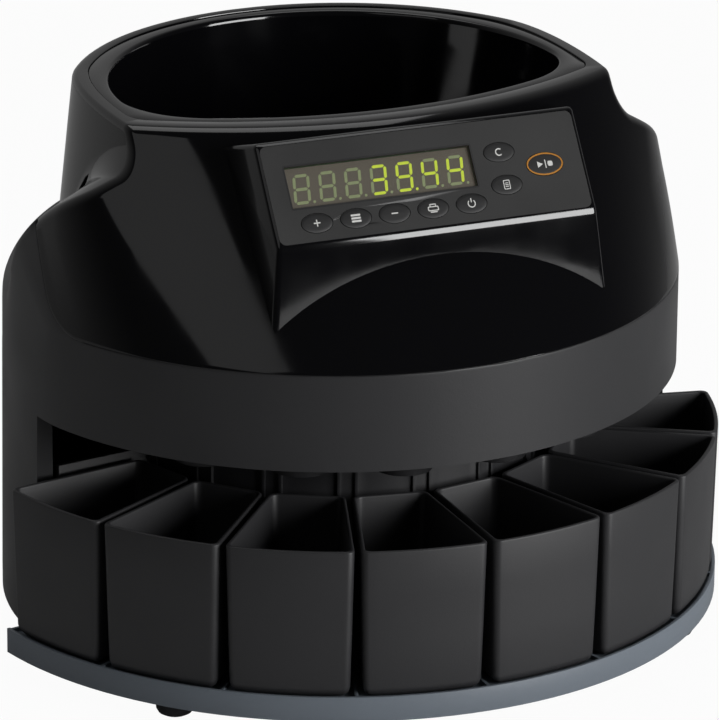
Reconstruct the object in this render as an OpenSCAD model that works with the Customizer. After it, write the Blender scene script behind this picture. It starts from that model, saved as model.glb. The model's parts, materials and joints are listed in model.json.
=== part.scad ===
// Coin sorting machine with a top hopper, a sloping control panel and a ring of coin cups.
// Every module is drawn about the upright axis of the cup ring. The ring axis is then moved
// along Y so that the origin lies under the middle of the whole machine, on the table.
// The front is towards -Y.

/* [Cup ring] */
// Outer radius of the tray, the front of the machine
tray_r = 180; // [174:1:190]
// Angle from one cup to the next, in degrees
cup_pitch = 19.6; // [18.4:0.1:19.8]
// Inner radius of a cup at its rim
cup_in_r = 110; // [106:1:118]
// Distance of a cup's rim from the edge of the tray
cup_set_back = 0.4; // [0.2:0.1:2]
// Height of the cup rims above the table
cup_rim_z = 88.5; // [74:0.5:92]
// Wall of a cup
cup_wall = 2; // [1.4:0.1:3]
// How far a cup wall leans in from rim to floor
cup_draft = 1.4; // [0.5:0.1:2.5]
// Radius of a cup's upright corners
cup_corner_r = 3.5; // [2.5:0.5:8]
// Radius between a cup's wall and its floor
cup_floor_r = 4; // [3:0.5:6]
// Gap between neighbouring cups
cup_gap = 2.8; // [2:0.1:4]

/* [Tray and feet] */
// Height of the feet
foot_h = 7.5; // [5:0.5:12]
// Radius of a foot
foot_r = 9; // [6:0.5:12]
// Radius of the circle that the front feet stand on
foot_ring_r = 168; // [150:1:169]
// Height of the tray floor above the underside of the tray
tray_h = 9.9; // [8:0.1:14]
// Thickness of the tray floor
tray_t = 3; // [2:0.1:4]
// Half of the angle that the front of the tray spans, in degrees
tray_half_angle = 78.9; // [78.9:0.1:82]
// Height of the lip above the cup floor
lip_h = 1.5; // [0.8:0.1:1.8]
// Thickness of the lip
lip_t = 1.6; // [1.2:0.1:2]
// Width of a rib between two cups
rib_w = 1.6; // [1:0.1:1.8]

/* [Housing] */
// Radius of the round front band
band_r = 163; // [162:0.5:166]
// Distance of the band's centre behind the ring axis
band_cy = 8.5; // [7:0.5:10]
// Radius of the rear of the housing
rear_r = 159.6; // [158:0.2:164]
// Distance of the rear's centre in front of the ring axis
rear_cy = 10; // [8:0.5:12]
// Height of the band's lower edge
band_z = 117; // [114:0.5:120]
// Height of the seam between the band and the cover
seam_z = 162.4; // [160:0.2:166]
// Height where the rear shoulder starts to round
shoulder_z = 151; // [148:1:155]
// Radius of the rear shoulder
shoulder_r = 32.5; // [30:0.5:38]
// Wall of the housing
housing_wall = 2.6; // [2:0.1:3.2]
// Height of the housing's lower edge
skirt_z = 8.5; // [8:0.1:10]
// Distance of the side walls' front ends in front of the ring axis
side_front_y = 26; // [22:1:28]
// Width of the flange at a side wall's front end
flange_w = 9; // [6:0.5:11]
// Radius of the wall behind the cups
column_r = 101; // [96:0.5:103]
// Thickness of the wall behind the cups
column_t = 2.5; // [2:0.1:4]
// Height of the walls at the two ends of the cup bay
end_wall_z = 91.5; // [90:0.5:100]

/* [Cover] */
// Height of the hopper rim above the table
rim_z = 254.7; // [248:0.1:262]
// Wall of the cover
cover_wall = 2.6; // [2:0.1:3.2]
// Radius of the rim's front edge
front_r = 222; // [218:1:228]
// Distance of the front edge's centre behind the ring axis
front_cy = 147; // [144:0.5:150]
// Radius of the hopper neck at the rim
neck_r = 127.6; // [125:0.2:130]
// Distance of the neck's centre in front of the ring axis
neck_cy = 12.8; // [11:0.2:15]
// Half width of the neck at the rim
neck_half_w = 122.4; // [120:0.2:124]
// How much the neck widens for each millimetre down
neck_draft = 0.1; // [0.06:0.01:0.12]
// How much the side panels lean in for each millimetre up
side_draft = 0.163; // [0.14:0.01:0.18]
// Height of the cover's shoulder at the neck
shoulder_top_z = 235.3; // [230:0.5:238]
// Slope of the shoulder, in degrees
shoulder_slope = 28.8; // [25:0.5:32]
// Radius between the neck and the shoulder
neck_fillet_r = 10; // [6:0.5:12]
// Radius of the shoulder's rear end
wing_r = 38; // [34:1:40]
// Distance of the wing's rear end in front of the ring axis
wing_end_y = 10; // [8:0.5:14]
// Distance of the side seam in front of the ring axis, at the band
seam_y = 41; // [38:0.5:44]
// Lean of the side seam, in degrees from upright
seam_lean = 30.3; // [26:0.5:34]
// Radius where the side seam meets the band seam
seam_r = 32; // [24:1:36]

/* [Hopper] */
// Width of the cover's rim beside and behind the hopper
rim_w = 7; // [6:0.5:8]
// Width of the cover's rim in front of the hopper
rim_front_w = 10.5; // [9:0.5:12]
// Thickness of the hopper's flange
flange_t = 2.2; // [1.8:0.1:3]
// Width of the hopper flange in front of the bowl
bowl_front_w = 8; // [6:0.5:10]
// Radius of the bowl's corners
bowl_corner_r = 20; // [12:1:26]
// Wall of the bowl
bowl_wall = 2.2; // [1.6:0.1:3]

/* [Control panel] */
// Width of the panel's face
face_w = 155; // [150:1:158]
// Length of the panel's face up its slope
face_len = 49.2; // [47:0.2:51]
// Slope of the face, in degrees from level
face_tilt = 55; // [52:0.5:58]
// Distance of the face's lower edge in front of the ring axis
face_y = 117.5; // [115:0.5:120]
// Height of the face's lower edge
face_z = 215.3; // [211:0.1:217]
// How much the panel's sides spread for each millimetre inwards
face_spread = 0.2; // [0.15:0.01:0.25]
// Lean of the surface under the face, in degrees from upright
chin_lean = 5.8; // [4:0.2:8]
// Width of the frame round the keypad
frame_w = 1.6; // [1.2:0.1:2.2]
// Thickness of the keypad plate
plate_t = 1.2; // [1:0.1:1.6]
// Width of the display window
window_w = 89.6; // [84:0.2:92]
// Height of the display window
window_h = 19.3; // [17:0.1:20]
// Width of a small key
key_w = 14.9; // [13:0.1:16]
// Height of a small key
key_h = 8.9; // [8:0.1:9.6]
// Size of the start key compared with a small key
start_scale = 1.2; // [1.1:0.05:1.3]
// Distance between the keys of the lower row
key_pitch = 18.72; // [18.2:0.02:19.2]
// Travel of a key
key_travel = 0.5; // [0.3:0.1:0.6]

/* [Sorting drive] */
// Height of the disc's upper side
disc_z = 152; // [150:0.5:155]
// Thickness of the disc
disc_t = 4; // [3:0.5:6]
// Gap between the sorting track and the housing
track_gap = 1.8; // [1:0.1:3]
// Border of the track outside the coin chutes
track_border = 2.6; // [2:0.1:4]
// Distance from the disc's edge to the middle of the coin chutes
disc_to_chute = 31; // [29:0.5:34]
// Outer radius of a coin chute
chute_r = 13.5; // [13.2:0.1:14]
// Wall of a coin chute
chute_wall = 1.5; // [1:0.1:2]
// Height of the chutes' lower ends
chute_z = 111; // [108:0.5:114]
// Diameter of the smallest coin hole
coin_hole_min = 17; // [16:0.2:17.4]
// Growth from one coin hole to the next
coin_hole_step = 0.8; // [0.6:0.1:0.9]
// Height of the deck's upper side
deck_z = 141; // [139:0.5:142]
// Thickness of the deck
deck_t = 3; // [2.5:0.1:4]
// Radius of the disc's spindle
spindle_r = 5; // [4:0.5:6]
// Radius of the large pulley
big_pulley_r = 42; // [36:1:46]
// Radius of the motor pulley
small_pulley_r = 10.5; // [9:0.5:12]
// Distance from the spindle to the motor
motor_dist = 78; // [74:1:82]
// Radius of the motor
motor_r = 29; // [24:1:32]
// Height of the motor's case
motor_h = 62; // [50:1:66]

/* [Hidden] */

eps = 0.01;
big = 600;
clear = 0.3;
cup_count = 8;
colour_matte = "#2b2b2b";
colour_gloss = "#0c0c0d";
colour_tray = "#474b51";

// The ring axis lies this far behind the origin.
ring_y = (tray_r - (rear_r - rear_cy)) / 2;

// Places that follow from the sizes above.
tray_top = foot_h + tray_h;
cup_floor_z = tray_top + clear;
lip_top = cup_floor_z + lip_h;
cup_out_r = tray_r - cup_set_back;
cone_scale = front_r / band_r;
cone_y = (front_cy - cone_scale * band_cy) / (1 - cone_scale);
wall_join_x = neck_half_w + neck_draft * (rim_z - shoulder_top_z);
seat_z = rim_z - flange_t;
bowl_lip_h = 1.2;
flange_low = 0.4;
outlet_gap = 3;
face_wall = 3;
plate_h = face_len - 2 * frame_w;
plate_w = face_w - 2 * frame_w;
key_row_s = 10;
wing_low_z = 120;
deck_bottom = deck_z - deck_t;
ring_plate_t = 3;
ring_plate_z = disc_z - disc_t - 1;

// Hopper and mechanism, from the inside of the housing inwards.
inner_r = min(band_r - band_cy, rear_r - 1.5) - housing_wall;
chute_ring_r = inner_r - track_gap - track_border - chute_r;
disc_r = chute_ring_r - disc_to_chute;
bowl_out_r = disc_r - 17;
bowl_r = neck_r - 17.1;
bowl_rear_r = neck_r - rim_w - 5;
deck_screw_r = chute_ring_r - 17.5;
post_r = 5;
post_h = 18;
bearing_r = spindle_r + 6;
bearing_t = 7;

// Recess and panel at the rear.
panel_w = 104;
panel_h = 46;
panel_low_z = 22;
panel_back_y = rear_r - rear_cy - 13;
panel_screw_x = panel_w / 2 - 3.5;
vent_z = 88;
vent_h = 24;
vent_w = 3;
vent_pitch = 8;

function cup_angle(i) = (i - (cup_count + 1) / 2) * cup_pitch;
function arc_points(cx, cy, r, a0, a1, n) = [for (k = [0:n])
    let (a = a0 + (a1 - a0) * k / n) [cx + r * cos(a), cy + r * sin(a)]];
function ellipse_points(w, h, n) = [for (k = [0:n - 1])
    [w / 2 * cos(360 * k / n), h / 2 * sin(360 * k / n)]];

module at_ring() {
    translate([0, ring_y, 0]) children();
}

// ---------- plan outlines ----------

// Pie slice that opens towards the front.
module front_slice(half_angle, r) {
    polygon([[0, 0], for (k = [-8:8]) r * [sin(half_angle * k / 8), -cos(half_angle * k / 8)]]);
}

// Plan of the housing, smaller by inset.
module housing_plan(inset) {
    intersection() {
        translate([0, band_cy]) circle(r = band_r - inset, $fn = 180);
        translate([0, -rear_cy]) circle(r = rear_r - inset, $fn = 180);
    }
}

// Plan of the hopper rim: round rear, straight sides and a shallow front.
module rim_plan(side, front) {
    intersection() {
        translate([0, -neck_cy]) circle(r = neck_r - side, $fn = 180);
        square([2 * (neck_half_w - side), big], center = true);
        translate([0, front_cy]) circle(r = front_r - front, $fn = 180);
    }
}

// ---------- tray, feet and cups ----------

// Plan of the tray: the front sector and the floor inside the housing.
module tray_plan() {
    intersection() {
        circle(r = tray_r, $fn = 180);
        front_slice(tray_half_angle, tray_r * 1.1);
    }
    difference() {
        housing_plan(housing_wall + clear);
        translate([0, -big / 2 - side_front_y + 4]) square([big, big], center = true);
    }
    intersection() {
        housing_plan(housing_wall + flange_w);
        circle(r = tray_r - 30, $fn = 180);
    }
}

module base_tray() {
    color(colour_tray) at_ring() difference() {
        union() {
            difference() {
                translate([0, 0, foot_h]) linear_extrude(tray_h) tray_plan();
                // hollow underside
                translate([0, 0, foot_h - eps]) cylinder(r = tray_r - 30, h = tray_h - tray_t + eps, $fn = 90);
                translate([0, 0, foot_h - eps]) linear_extrude(tray_h - tray_t + eps) intersection() {
                    difference() {
                        circle(r = tray_r - 2.4, $fn = 180);
                        circle(r = tray_r - 25, $fn = 90);
                    }
                    front_slice(tray_half_angle - 1.2, tray_r);
                }
            }
            // lip along the front
            translate([0, 0, tray_top - eps]) linear_extrude(lip_top - tray_top + eps) intersection() {
                difference() {
                    circle(r = tray_r, $fn = 180);
                    circle(r = tray_r - lip_t, $fn = 180);
                }
                front_slice(tray_half_angle, tray_r * 1.1);
            }
            // ribs that keep the cups apart
            for (i = [0:cup_count]) rotate(cup_angle(i + 0.5))
                translate([-rib_w / 2, -tray_r + lip_t / 2, tray_top - eps])
                    cube([rib_w, tray_r - cup_in_r - lip_t, lip_top - tray_top + eps]);
            // pads over the feet
            for (p = foot_places()) translate([p[0], p[1], foot_h]) cylinder(r = foot_r + 1, h = tray_h - tray_t / 2);
            for (p = screw_places()) translate([p[0], p[1], foot_h]) cylinder(r = 5, h = tray_h - tray_t / 2);
        }
        for (p = foot_places()) translate([p[0], p[1], foot_h - eps]) cylinder(r = 3.3, h = 5);
        for (p = screw_places()) {
            translate([p[0], p[1], foot_h - 1]) cylinder(r = 1.8, h = tray_h + 2);
            translate([p[0], p[1], foot_h - 1]) cylinder(r = 3.6, h = 1 + 2.6);
        }
    }
}

// Two feet at the back and two at the front.
function foot_places() = [for (a = [-48, 48]) foot_ring_r * [sin(a), -cos(a)],
    for (s = [-1, 1]) [s * 96, 96]];
// Screws that hold the housing to the tray.
function screw_places() = [for (s = [-1, 1], p = [[138, 14], [118, 66]]) [s * p[0], p[1]]];
// Place in the middle of the rear wall, straight outwards from a point.
function wall_place(p) = let (d = [p[0], p[1] + rear_cy])
    [0, -rear_cy] + d / norm(d) * (rear_r - housing_wall / 2);

module rubber_feet() {
    color("#1a1a1a") at_ring() for (p = foot_places()) translate([p[0], p[1], 0]) {
        rotate_extrude($fn = 48) polygon([[0, 0], [foot_r - 3.2, 0], [foot_r - 1.4, 1], [foot_r - 0.4, 2.8],
            [foot_r, foot_h], [3, foot_h], [3, foot_h + 4.6], [0, foot_h + 4.6]]);
    }
}

// Plan of one cup, which opens towards -Y.
module cup_plan(inset) {
    offset(r = cup_corner_r, $fn = 24) offset(delta = -cup_corner_r - inset) difference() {
        intersection() {
            circle(r = cup_out_r, $fn = 216);
            polygon([[0, -cup_gap / 2 / sin(cup_pitch / 2)],
                [-big * sin(cup_pitch / 2), -cup_gap / 2 / sin(cup_pitch / 2) - big * cos(cup_pitch / 2)],
                [big * sin(cup_pitch / 2), -cup_gap / 2 / sin(cup_pitch / 2) - big * cos(cup_pitch / 2)]]);
        }
        translate([-big / 2, -cup_in_r * cos(cup_pitch / 2)]) square([big, big]);
    }
}

// Solid form of a cup, with a rounded floor edge; inset makes the hollow.
module cup_form(low_z, high_z, inset) {
    r = cup_floor_r;
    hull() {
        for (k = [0:2])
            translate([0, 0, low_z + r * (1 - cos(45 * k))]) linear_extrude(eps)
                cup_plan(inset + cup_draft + r * (1 - sin(45 * k)));
        translate([0, 0, high_z - eps]) linear_extrude(eps) cup_plan(inset);
    }
}

module coin_cup(i) {
    color(colour_matte) at_ring() rotate(cup_angle(i)) difference() {
        cup_form(cup_floor_z, cup_rim_z, 0);
        cup_form(cup_floor_z + cup_wall, cup_rim_z + 1, cup_wall);
    }
}

// ---------- housing ----------

// Rounded rear dome with the cheeks that run up to the cover's side seam.
module dome_form(inset) {
    top = shoulder_z + shoulder_r - inset;
    hull() {
        translate([0, -rear_cy, 0]) rotate_extrude($fn = 72) polygon(concat(
            [[0, wing_low_z], [rear_r + 0.4 - inset, wing_low_z]],
            arc_points(rear_r + 0.4 - shoulder_r, shoulder_z, shoulder_r - inset, 0, 90, 6),
            [[0, top]]));
        for (s = [-1, 1]) {
            translate([s * (band_r - 9 - inset), -18, 190]) sphere(r = 2, $fn = 12);
            translate([s * (band_r - 14 - inset), -19, shoulder_top_z - 34 - inset]) sphere(r = 3, $fn = 12);
            translate([s * (neck_half_w - 8), -19, shoulder_top_z - 28 - inset]) sphere(r = 3, $fn = 12);
        }
    }
}

// Everything in front of the side seam and above the band seam, as a profile in Y and Z.
module seam_profile() {
    lean = tan(seam_lean);
    tangent = seam_r * tan((90 - seam_lean) / 2);
    polygon(concat([[-big, seam_z]],
        arc_points(-seam_y - tangent, seam_z + seam_r, seam_r, -90, -seam_lean, 10),
        [[-seam_y + lean * (rim_z + 40 - seam_z), rim_z + 40], [-big, rim_z + 40]]));
}

// Extrudes a Y and Z profile across the machine.
module across(w) {
    rotate([90, 0, 90]) linear_extrude(w, center = true) children();
}

module housing_shell() {
    difference() {
        intersection() {
            translate([0, 0, skirt_z]) linear_extrude(rim_z) housing_plan(0);
            union() {
                translate([0, 0, skirt_z - 1]) cylinder(r = big, h = shoulder_z - skirt_z);
                dome_form(0);
            }
        }
        // hollow inside
        intersection() {
            translate([0, 0, skirt_z - 1]) linear_extrude(rim_z) housing_plan(housing_wall);
            union() {
                translate([0, 0, skirt_z - 2]) cylinder(r = big, h = shoulder_z - skirt_z);
                dome_form(housing_wall);
            }
        }
        // room for the cover
        across(big) seam_profile();
        neck_form(-clear, shoulder_z - 3, rim_z + 10);
        // cup bay
        translate([-big / 2, -big - side_front_y, 0]) cube([big, big, band_z]);
    }
}

module main_housing() {
    color(colour_matte) at_ring() difference() {
        union() {
            housing_shell();
            // flanges at the front ends of the side walls
            intersection() {
                translate([0, 0, skirt_z]) linear_extrude(band_z - skirt_z + 3) difference() {
                    housing_plan(0);
                    square([2 * (band_r - 3.5 - flange_w), big], center = true);
                }
                translate([-big / 2, -side_front_y, 0]) cube([big, housing_wall, big]);
            }
            // ledge that carries the deck
            translate([0, 0, deck_bottom - 3]) linear_extrude(3) intersection() {
                difference() {
                    housing_plan(housing_wall - eps);
                    housing_plan(housing_wall + 3.4);
                }
                for (a = [0, 60, 120]) rotate(a) square([70, big], center = true);
            }
            // screw posts down to the tray, each with a rib to the wall
            for (p = screw_places()) {
                translate([p[0], p[1], tray_top]) cylinder(r = post_r, h = post_h);
                translate([p[0], p[1], tray_top]) rotate(atan2(wall_place(p)[1] - p[1], wall_place(p)[0] - p[0]))
                    translate([post_r / 2, -1, 0]) cube([norm(wall_place(p) - p) - post_r / 2, 2, post_h - 1]);
            }
            // frame round the recess for the rear panel
            intersection() {
                translate([0, 0, skirt_z]) linear_extrude(shoulder_z - skirt_z) housing_plan(0);
                translate([-panel_w / 2 - housing_wall, panel_back_y - 4.6, panel_low_z - housing_wall])
                    cube([panel_w + 2 * housing_wall, 40, panel_h + 2 * housing_wall]);
            }
        }
        // blind holes for the base screws
        for (p = screw_places()) translate([p[0], p[1], tray_top - 1]) cylinder(r = 1.4, h = 14);
        // seat for the rear panel, the opening behind it and its screw holes
        translate([-panel_w / 2 - clear, panel_back_y, panel_low_z - clear])
            cube([panel_w + 2 * clear, 60, panel_h + 2 * clear]);
        translate([-panel_w / 2 + 7, panel_back_y - 10, panel_low_z + 3]) cube([panel_w - 14, 60, panel_h - 6]);
        for (s = [-1, 1]) translate([s * panel_screw_x, panel_back_y + 1, socket_z()])
            rotate([90, 0, 0]) cylinder(r = 1.1, h = 7);
        // ventilation slots above the rear panel
        for (k = [-6:6]) translate([k * vent_pitch - vent_w / 2, 0, vent_z]) cube([vent_w, big, vent_h]);
    }
}

// Curved wall behind the cups and the two walls that close the ends of the bay.
module cup_bay_wall() {
    color(colour_matte) at_ring() {
        translate([0, 0, tray_top]) linear_extrude(end_wall_z - tray_top) bay_wall_plan(true);
        translate([0, 0, end_wall_z]) linear_extrude(deck_bottom - end_wall_z) bay_wall_plan(false);
    }
}

// Plan of the curved wall with its ribs, and with the end walls where they reach.
module bay_wall_plan(ends) {
    end_a = tray_half_angle + 1.4;
    end_r = band_r - flange_w - 4;
    difference() {
        union() {
            intersection() {
                circle(r = column_r, $fn = 180);
                front_slice(end_a, column_r * 1.2);
            }
            for (i = [0:cup_count]) rotate(cup_angle(i + 0.5)) for (s = [-1, 1])
                translate([s * 4 - 0.8, -column_r - 1.4]) square([1.6, 4]);
            if (ends) for (s = [-1, 1]) rotate(s * end_a)
                translate([-column_t / 2, -end_r]) square([column_t, end_r - column_r + 8]);
        }
        circle(r = column_r - column_t, $fn = 180);
    }
}

// ---------- cover ----------

// Oblique cone of the front skirt, which leans back from the band to the rim.
module skirt_cone(inset) {
    translate([0, cone_y, seam_z]) linear_extrude(rim_z - seam_z, scale = cone_scale)
        translate([0, band_cy - cone_y]) circle(r = band_r - inset, $fn = 150);
    translate([0, band_cy, shoulder_z - 60]) cylinder(r = band_r - inset, h = seam_z - shoulder_z + 60, $fn = 150);
}

// Side panels, which lean in towards the top.
module side_cone(inset) {
    translate([0, band_cy, shoulder_z - 60]) cylinder(r = band_r - inset, h = seam_z - shoulder_z + 60, $fn = 150);
    translate([0, band_cy, seam_z]) cylinder(r1 = band_r - inset,
        r2 = band_r - inset - side_draft * (rim_z - seam_z), h = rim_z - seam_z, $fn = 150);
}

// Hopper neck with its straight sides, from low_z to high_z.
module neck_form(inset, low_z, high_z) {
    low_w = neck_draft * (rim_z - low_z);
    high_w = neck_draft * (rim_z - high_z);
    intersection() {
        translate([0, -neck_cy, low_z]) cylinder(r1 = neck_r + low_w - inset, r2 = neck_r + high_w - inset,
            h = high_z - low_z, $fn = 180);
        rotate([90, 0, 0]) linear_extrude(big, center = true) polygon([
            [-neck_half_w - low_w + inset, low_z], [neck_half_w + low_w - inset, low_z],
            [neck_half_w + high_w - inset, high_z], [-neck_half_w - high_w + inset, high_z]]);
    }
}

// Top of the shoulder as a profile in X and Z, with the hollow fillet at the neck.
module shoulder_profile(inset) {
    slope = tan(shoulder_slope);
    drop = inset / cos(shoulder_slope);
    x0 = wall_join_x;
    reach = 60;
    polygon([[0, wing_low_z], [x0 + reach, wing_low_z],
        [x0 + reach, shoulder_top_z - drop - reach * slope], [0, shoulder_top_z - drop + x0 * slope]]);
}

module fillet_profile(inset) {
    r = neck_fillet_r + inset;
    half = (90 + shoulder_slope) / 2;
    reach = neck_fillet_r / tan(half);
    x0 = wall_join_x;
    polygon(concat([[x0 - 6, shoulder_top_z - 14]],
        [[x0 + reach * cos(shoulder_slope), shoulder_top_z - 14]],
        arc_points(x0 + neck_fillet_r, shoulder_top_z + reach, r, 270 - shoulder_slope, 180, 6),
        [[x0 - 6, shoulder_top_z + reach]]));
}

// Rounded rear end of a wing, tilted with the shoulder.
module wing_round(inset, lift) {
    drop = cos(shoulder_slope) * shoulder_top_z + sin(shoulder_slope) * wall_join_x;
    rotate([0, shoulder_slope, 0]) across(2 * big) polygon(concat(
        [[-big, -big]],
        [[-wing_end_y - inset, -big]],
        arc_points(-wing_end_y - wing_r, drop - wing_r + lift, wing_r - inset, 0, 90, 10),
        [[-big, drop - inset + lift]]));
}

// One wing of the skirt, on the +X side.
module wing_form(inset) {
    intersection() {
        skirt_cone(inset);
        side_cone(inset);
        union() {
            intersection() {
                rotate([90, 0, 0]) linear_extrude(big, center = true) shoulder_profile(inset);
                wing_round(inset, 0);
            }
            intersection() {
                rotate([90, 0, 0]) linear_extrude(big, center = true) fillet_profile(inset);
                wing_round(inset, neck_fillet_r * 0.6);
            }
        }
        translate([0, -big / 2, 0]) cube([big, big, rim_z]);
    }
}

// Wedge that carries the control panel, in the frame of its face.
module on_face() {
    translate([0, -face_y, face_z]) rotate([face_tilt, 0, 0]) children();
}

module panel_wedge(inset) {
    depth = 90;
    intersection() {
        on_face() translate([0, 80, 0]) rotate([90, 0, 0]) linear_extrude(200) polygon([
            [-face_w / 2 + inset, 0], [face_w / 2 - inset, 0],
            [face_w / 2 - inset + face_spread * depth, -depth], [-face_w / 2 + inset - face_spread * depth, -depth]]);
        across(big) wedge_profile(inset);
    }
}

module wedge_profile(inset) {
    top_y = -face_y + face_len * cos(face_tilt);
    top_z = face_z + face_len * sin(face_tilt);
    low_z = seam_z - 6;
    back_y = -56;
    n = inset;
    fall = 0.3;
    polygon([[-face_y + n * 1.2, face_z - n * 0.2],
        [top_y + n * 0.7, top_z - n * 1.3],
        [back_y, top_z - n - fall * (back_y - top_y)],
        [back_y, low_z],
        [-face_y + n - tan(chin_lean) * (face_z - low_z), low_z]]);
}

// Outer or inner form of the whole cover.
module cover_form(inset, low_z) {
    intersection() {
        skirt_cone(inset);
        neck_form(inset, low_z, rim_z);
    }
    wing_form(inset);
    mirror([1, 0, 0]) wing_form(inset);
}

module top_cover() {
    color(colour_gloss) at_ring() difference() {
        union() {
            difference() {
                union() {
                    intersection() {
                        cover_form(0, seam_z);
                        across(big) seam_profile();
                    }
                    intersection() {
                        skirt_cone(0);
                        neck_form(0, shoulder_z + shoulder_r - 12, rim_z);
                    }
                    panel_wedge(0);
                }
                difference() {
                    cover_form(cover_wall, seam_z - 20);
                    // rim and the seat under the hopper flange
                    translate([0, 0, seat_z - cover_wall]) linear_extrude(big) difference() {
                        square([big, big], center = true);
                        rim_plan(rim_w + 3, rim_front_w + 3);
                    }
                }
                panel_wedge_hollow();
            }
            // bosses behind the face for the keypad board
            intersection() {
                panel_wedge(0.5);
                on_face() for (p = board_screw_places()) translate([p[0], p[1], -board_depth()])
                    cylinder(r = 3, h = board_depth() - 1);
            }
        }
        // seat of the hopper flange
        translate([0, 0, seat_z]) linear_extrude(big) rim_plan(rim_w, rim_front_w);
        // pocket for the keypad plate
        on_face() translate([0, face_len / 2, -plate_t]) linear_extrude(20)
            offset(r = 3, $fn = 24) offset(delta = -3) square([plate_w + clear, plate_h + clear], center = true);
        // openings for the keys and the display
        on_face() for (k = key_list()) translate([k[0], k[1], -30]) linear_extrude(40)
            key_outline(k[2], 1.6);
        on_face() translate([window_x(), window_s(), -30]) linear_extrude(40)
            square([window_w + 1, window_h + 1], center = true);
        on_face() for (p = board_screw_places()) translate([p[0], p[1], -board_depth() - 1])
            cylinder(r = 1.1, h = 7);
    }
}

// Room behind the face, which opens into the cover.
module panel_wedge_hollow() {
    intersection() {
        on_face() translate([-big / 2, -60, -big]) cube([big, big, big - face_wall]);
        panel_wedge(cover_wall);
        translate([0, front_cy, 0]) cylinder(r = front_r + 60, h = seat_z - cover_wall);
    }
}

// ---------- hopper ----------

module mouth_plan(inset) {
    offset(r = bowl_corner_r, $fn = 24) offset(delta = -bowl_corner_r - inset) intersection() {
        circle(r = bowl_r, $fn = 60);
        translate([0, -neck_cy]) circle(r = bowl_rear_r, $fn = 60);
        translate([0, front_cy]) circle(r = front_r - rim_front_w - bowl_front_w, $fn = 90);
    }
}

// Form of the bowl between its round outlet and its mouth, which is h high.
module bowl_form(inset, low_z, h) {
    hull() {
        translate([0, 0, rim_z - bowl_lip_h]) linear_extrude(h) mouth_plan(inset);
        translate([0, 0, low_z]) cylinder(r = bowl_out_r - inset, h = eps, $fn = 48);
    }
}

module hopper_bowl() {
    low_z = disc_z + outlet_gap;
    color(colour_gloss) at_ring() difference() {
        union() {
            translate([0, 0, seat_z]) linear_extrude(flange_t - flange_low)
                rim_plan(rim_w + clear, rim_front_w + clear);
            bowl_form(0, low_z, eps);
            // collar round the outlet
            translate([0, 0, low_z]) cylinder(r = bowl_out_r + 2, h = 4);
        }
        bowl_form(bowl_wall, low_z - 1, 4);
    }
}

// ---------- control panel ----------

function window_x() = -21.5;
function window_s() = 27.5;
function board_depth() = 9.6;
function board_screw_places() = [for (s = [-1, 1], t = [5, 44]) [s * 71, t]];
// Each key: place across, place up the face, scale.
function key_list() = [for (i = [0:4]) [-56.7 + i * key_pitch, key_row_s, 1],
    [37.1, 16.6, 1], [36.9, 32.1, 1], [57.6, 24, start_scale]];

module key_outline(size, grow) {
    polygon(ellipse_points(key_w * size + 2 * grow, key_h * size + 2 * grow, 48));
}

module keypad_plate() {
    color("#3a3b3d") at_ring() on_face() difference() {
        translate([0, face_len / 2, -plate_t]) linear_extrude(plate_t - 0.3)
            offset(r = 3, $fn = 24) offset(delta = -3) square([plate_w, plate_h], center = true);
        for (k = key_list()) translate([k[0], k[1], -3]) linear_extrude(6) key_outline(k[2], 0.25);
        translate([window_x(), window_s(), -3]) linear_extrude(6) square([window_w, window_h], center = true);
    }
}

module display_window() {
    color("#4a4438", 0.8) at_ring() on_face() translate([window_x(), window_s(), -plate_t])
        linear_extrude(plate_t - 0.5) square([window_w - 2 * 0.15, window_h - 2 * 0.15], center = true);
}

// Display block with seven digit wells.
module display_module() {
    color("#202020") at_ring() on_face() translate([window_x(), window_s(), 0]) {
        difference() {
            translate([0, 0, -board_depth() + 1.6]) linear_extrude(board_depth() - 1.6 - plate_t - 0.2)
                square([window_w - 1, window_h - 1], center = true);
            for (i = [-3:3]) translate([i * window_w / 7.4, 0, -plate_t - 0.8])
                linear_extrude(2) square([window_w / 9, window_h * 0.78], center = true);
        }
        for (i = [-3:3]) translate([i * window_w / 7.4, 0, -plate_t - 0.8]) digit(window_h * 0.6, 0.4);
    }
}

// One seven-segment digit, all segments raised.
module digit(h, t) {
    w = h * 0.5;
    bar = h * 0.13;
    gap = h * 0.02;
    linear_extrude(t) {
        for (y = [-1, 0, 1]) translate([-y * -0.04 * h, y * (h - bar) / 2]) square([w - 2 * bar, bar - gap], center = true);
        for (x = [-1, 1], y = [-1, 1]) translate([x * (w - bar) / 2 + y * 0.02 * h, y * (h - bar) / 4])
            square([bar - gap, (h - bar) / 2 - bar * 0.4], center = true);
    }
}

module keypad_board() {
    color("#1f5b36") at_ring() on_face() {
        difference() {
            translate([0, face_len / 2, -board_depth() - 1.6]) linear_extrude(1.6)
                square([face_w - 8, face_len - 4.4], center = true);
            for (p = board_screw_places()) translate([p[0], p[1], -board_depth() - 3]) cylinder(r = 1.5, h = 6);
        }
        // dome switches under the keys
        for (k = key_list()) translate([k[0], k[1], -board_depth()]) cylinder(r = 3, h = switch_h());
        // carrier under the display
        translate([window_x(), window_s(), -board_depth()]) linear_extrude(1.6)
            square([window_w - 8, window_h - 6], center = true);
    }
}

function switch_h() = 2;
function key_low() = -board_depth() + switch_h() + key_travel + 0.2;

// A key: the elliptical cap, the flange that keeps it in and the stem.
module key_piece(i) {
    k = key_list()[i];
    at_ring() on_face() translate([k[0], k[1], 0]) {
        translate([0, 0, -face_wall - 0.4]) linear_extrude(face_wall + 0.4) key_outline(k[2], 0);
        translate([0, 0, -face_wall - 1.6]) linear_extrude(1.2 + eps) key_outline(k[2], 0.6);
        translate([0, 0, key_low()]) cylinder(r = 2, h = -face_wall - 1.6 - key_low() + eps);
    }
}

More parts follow.
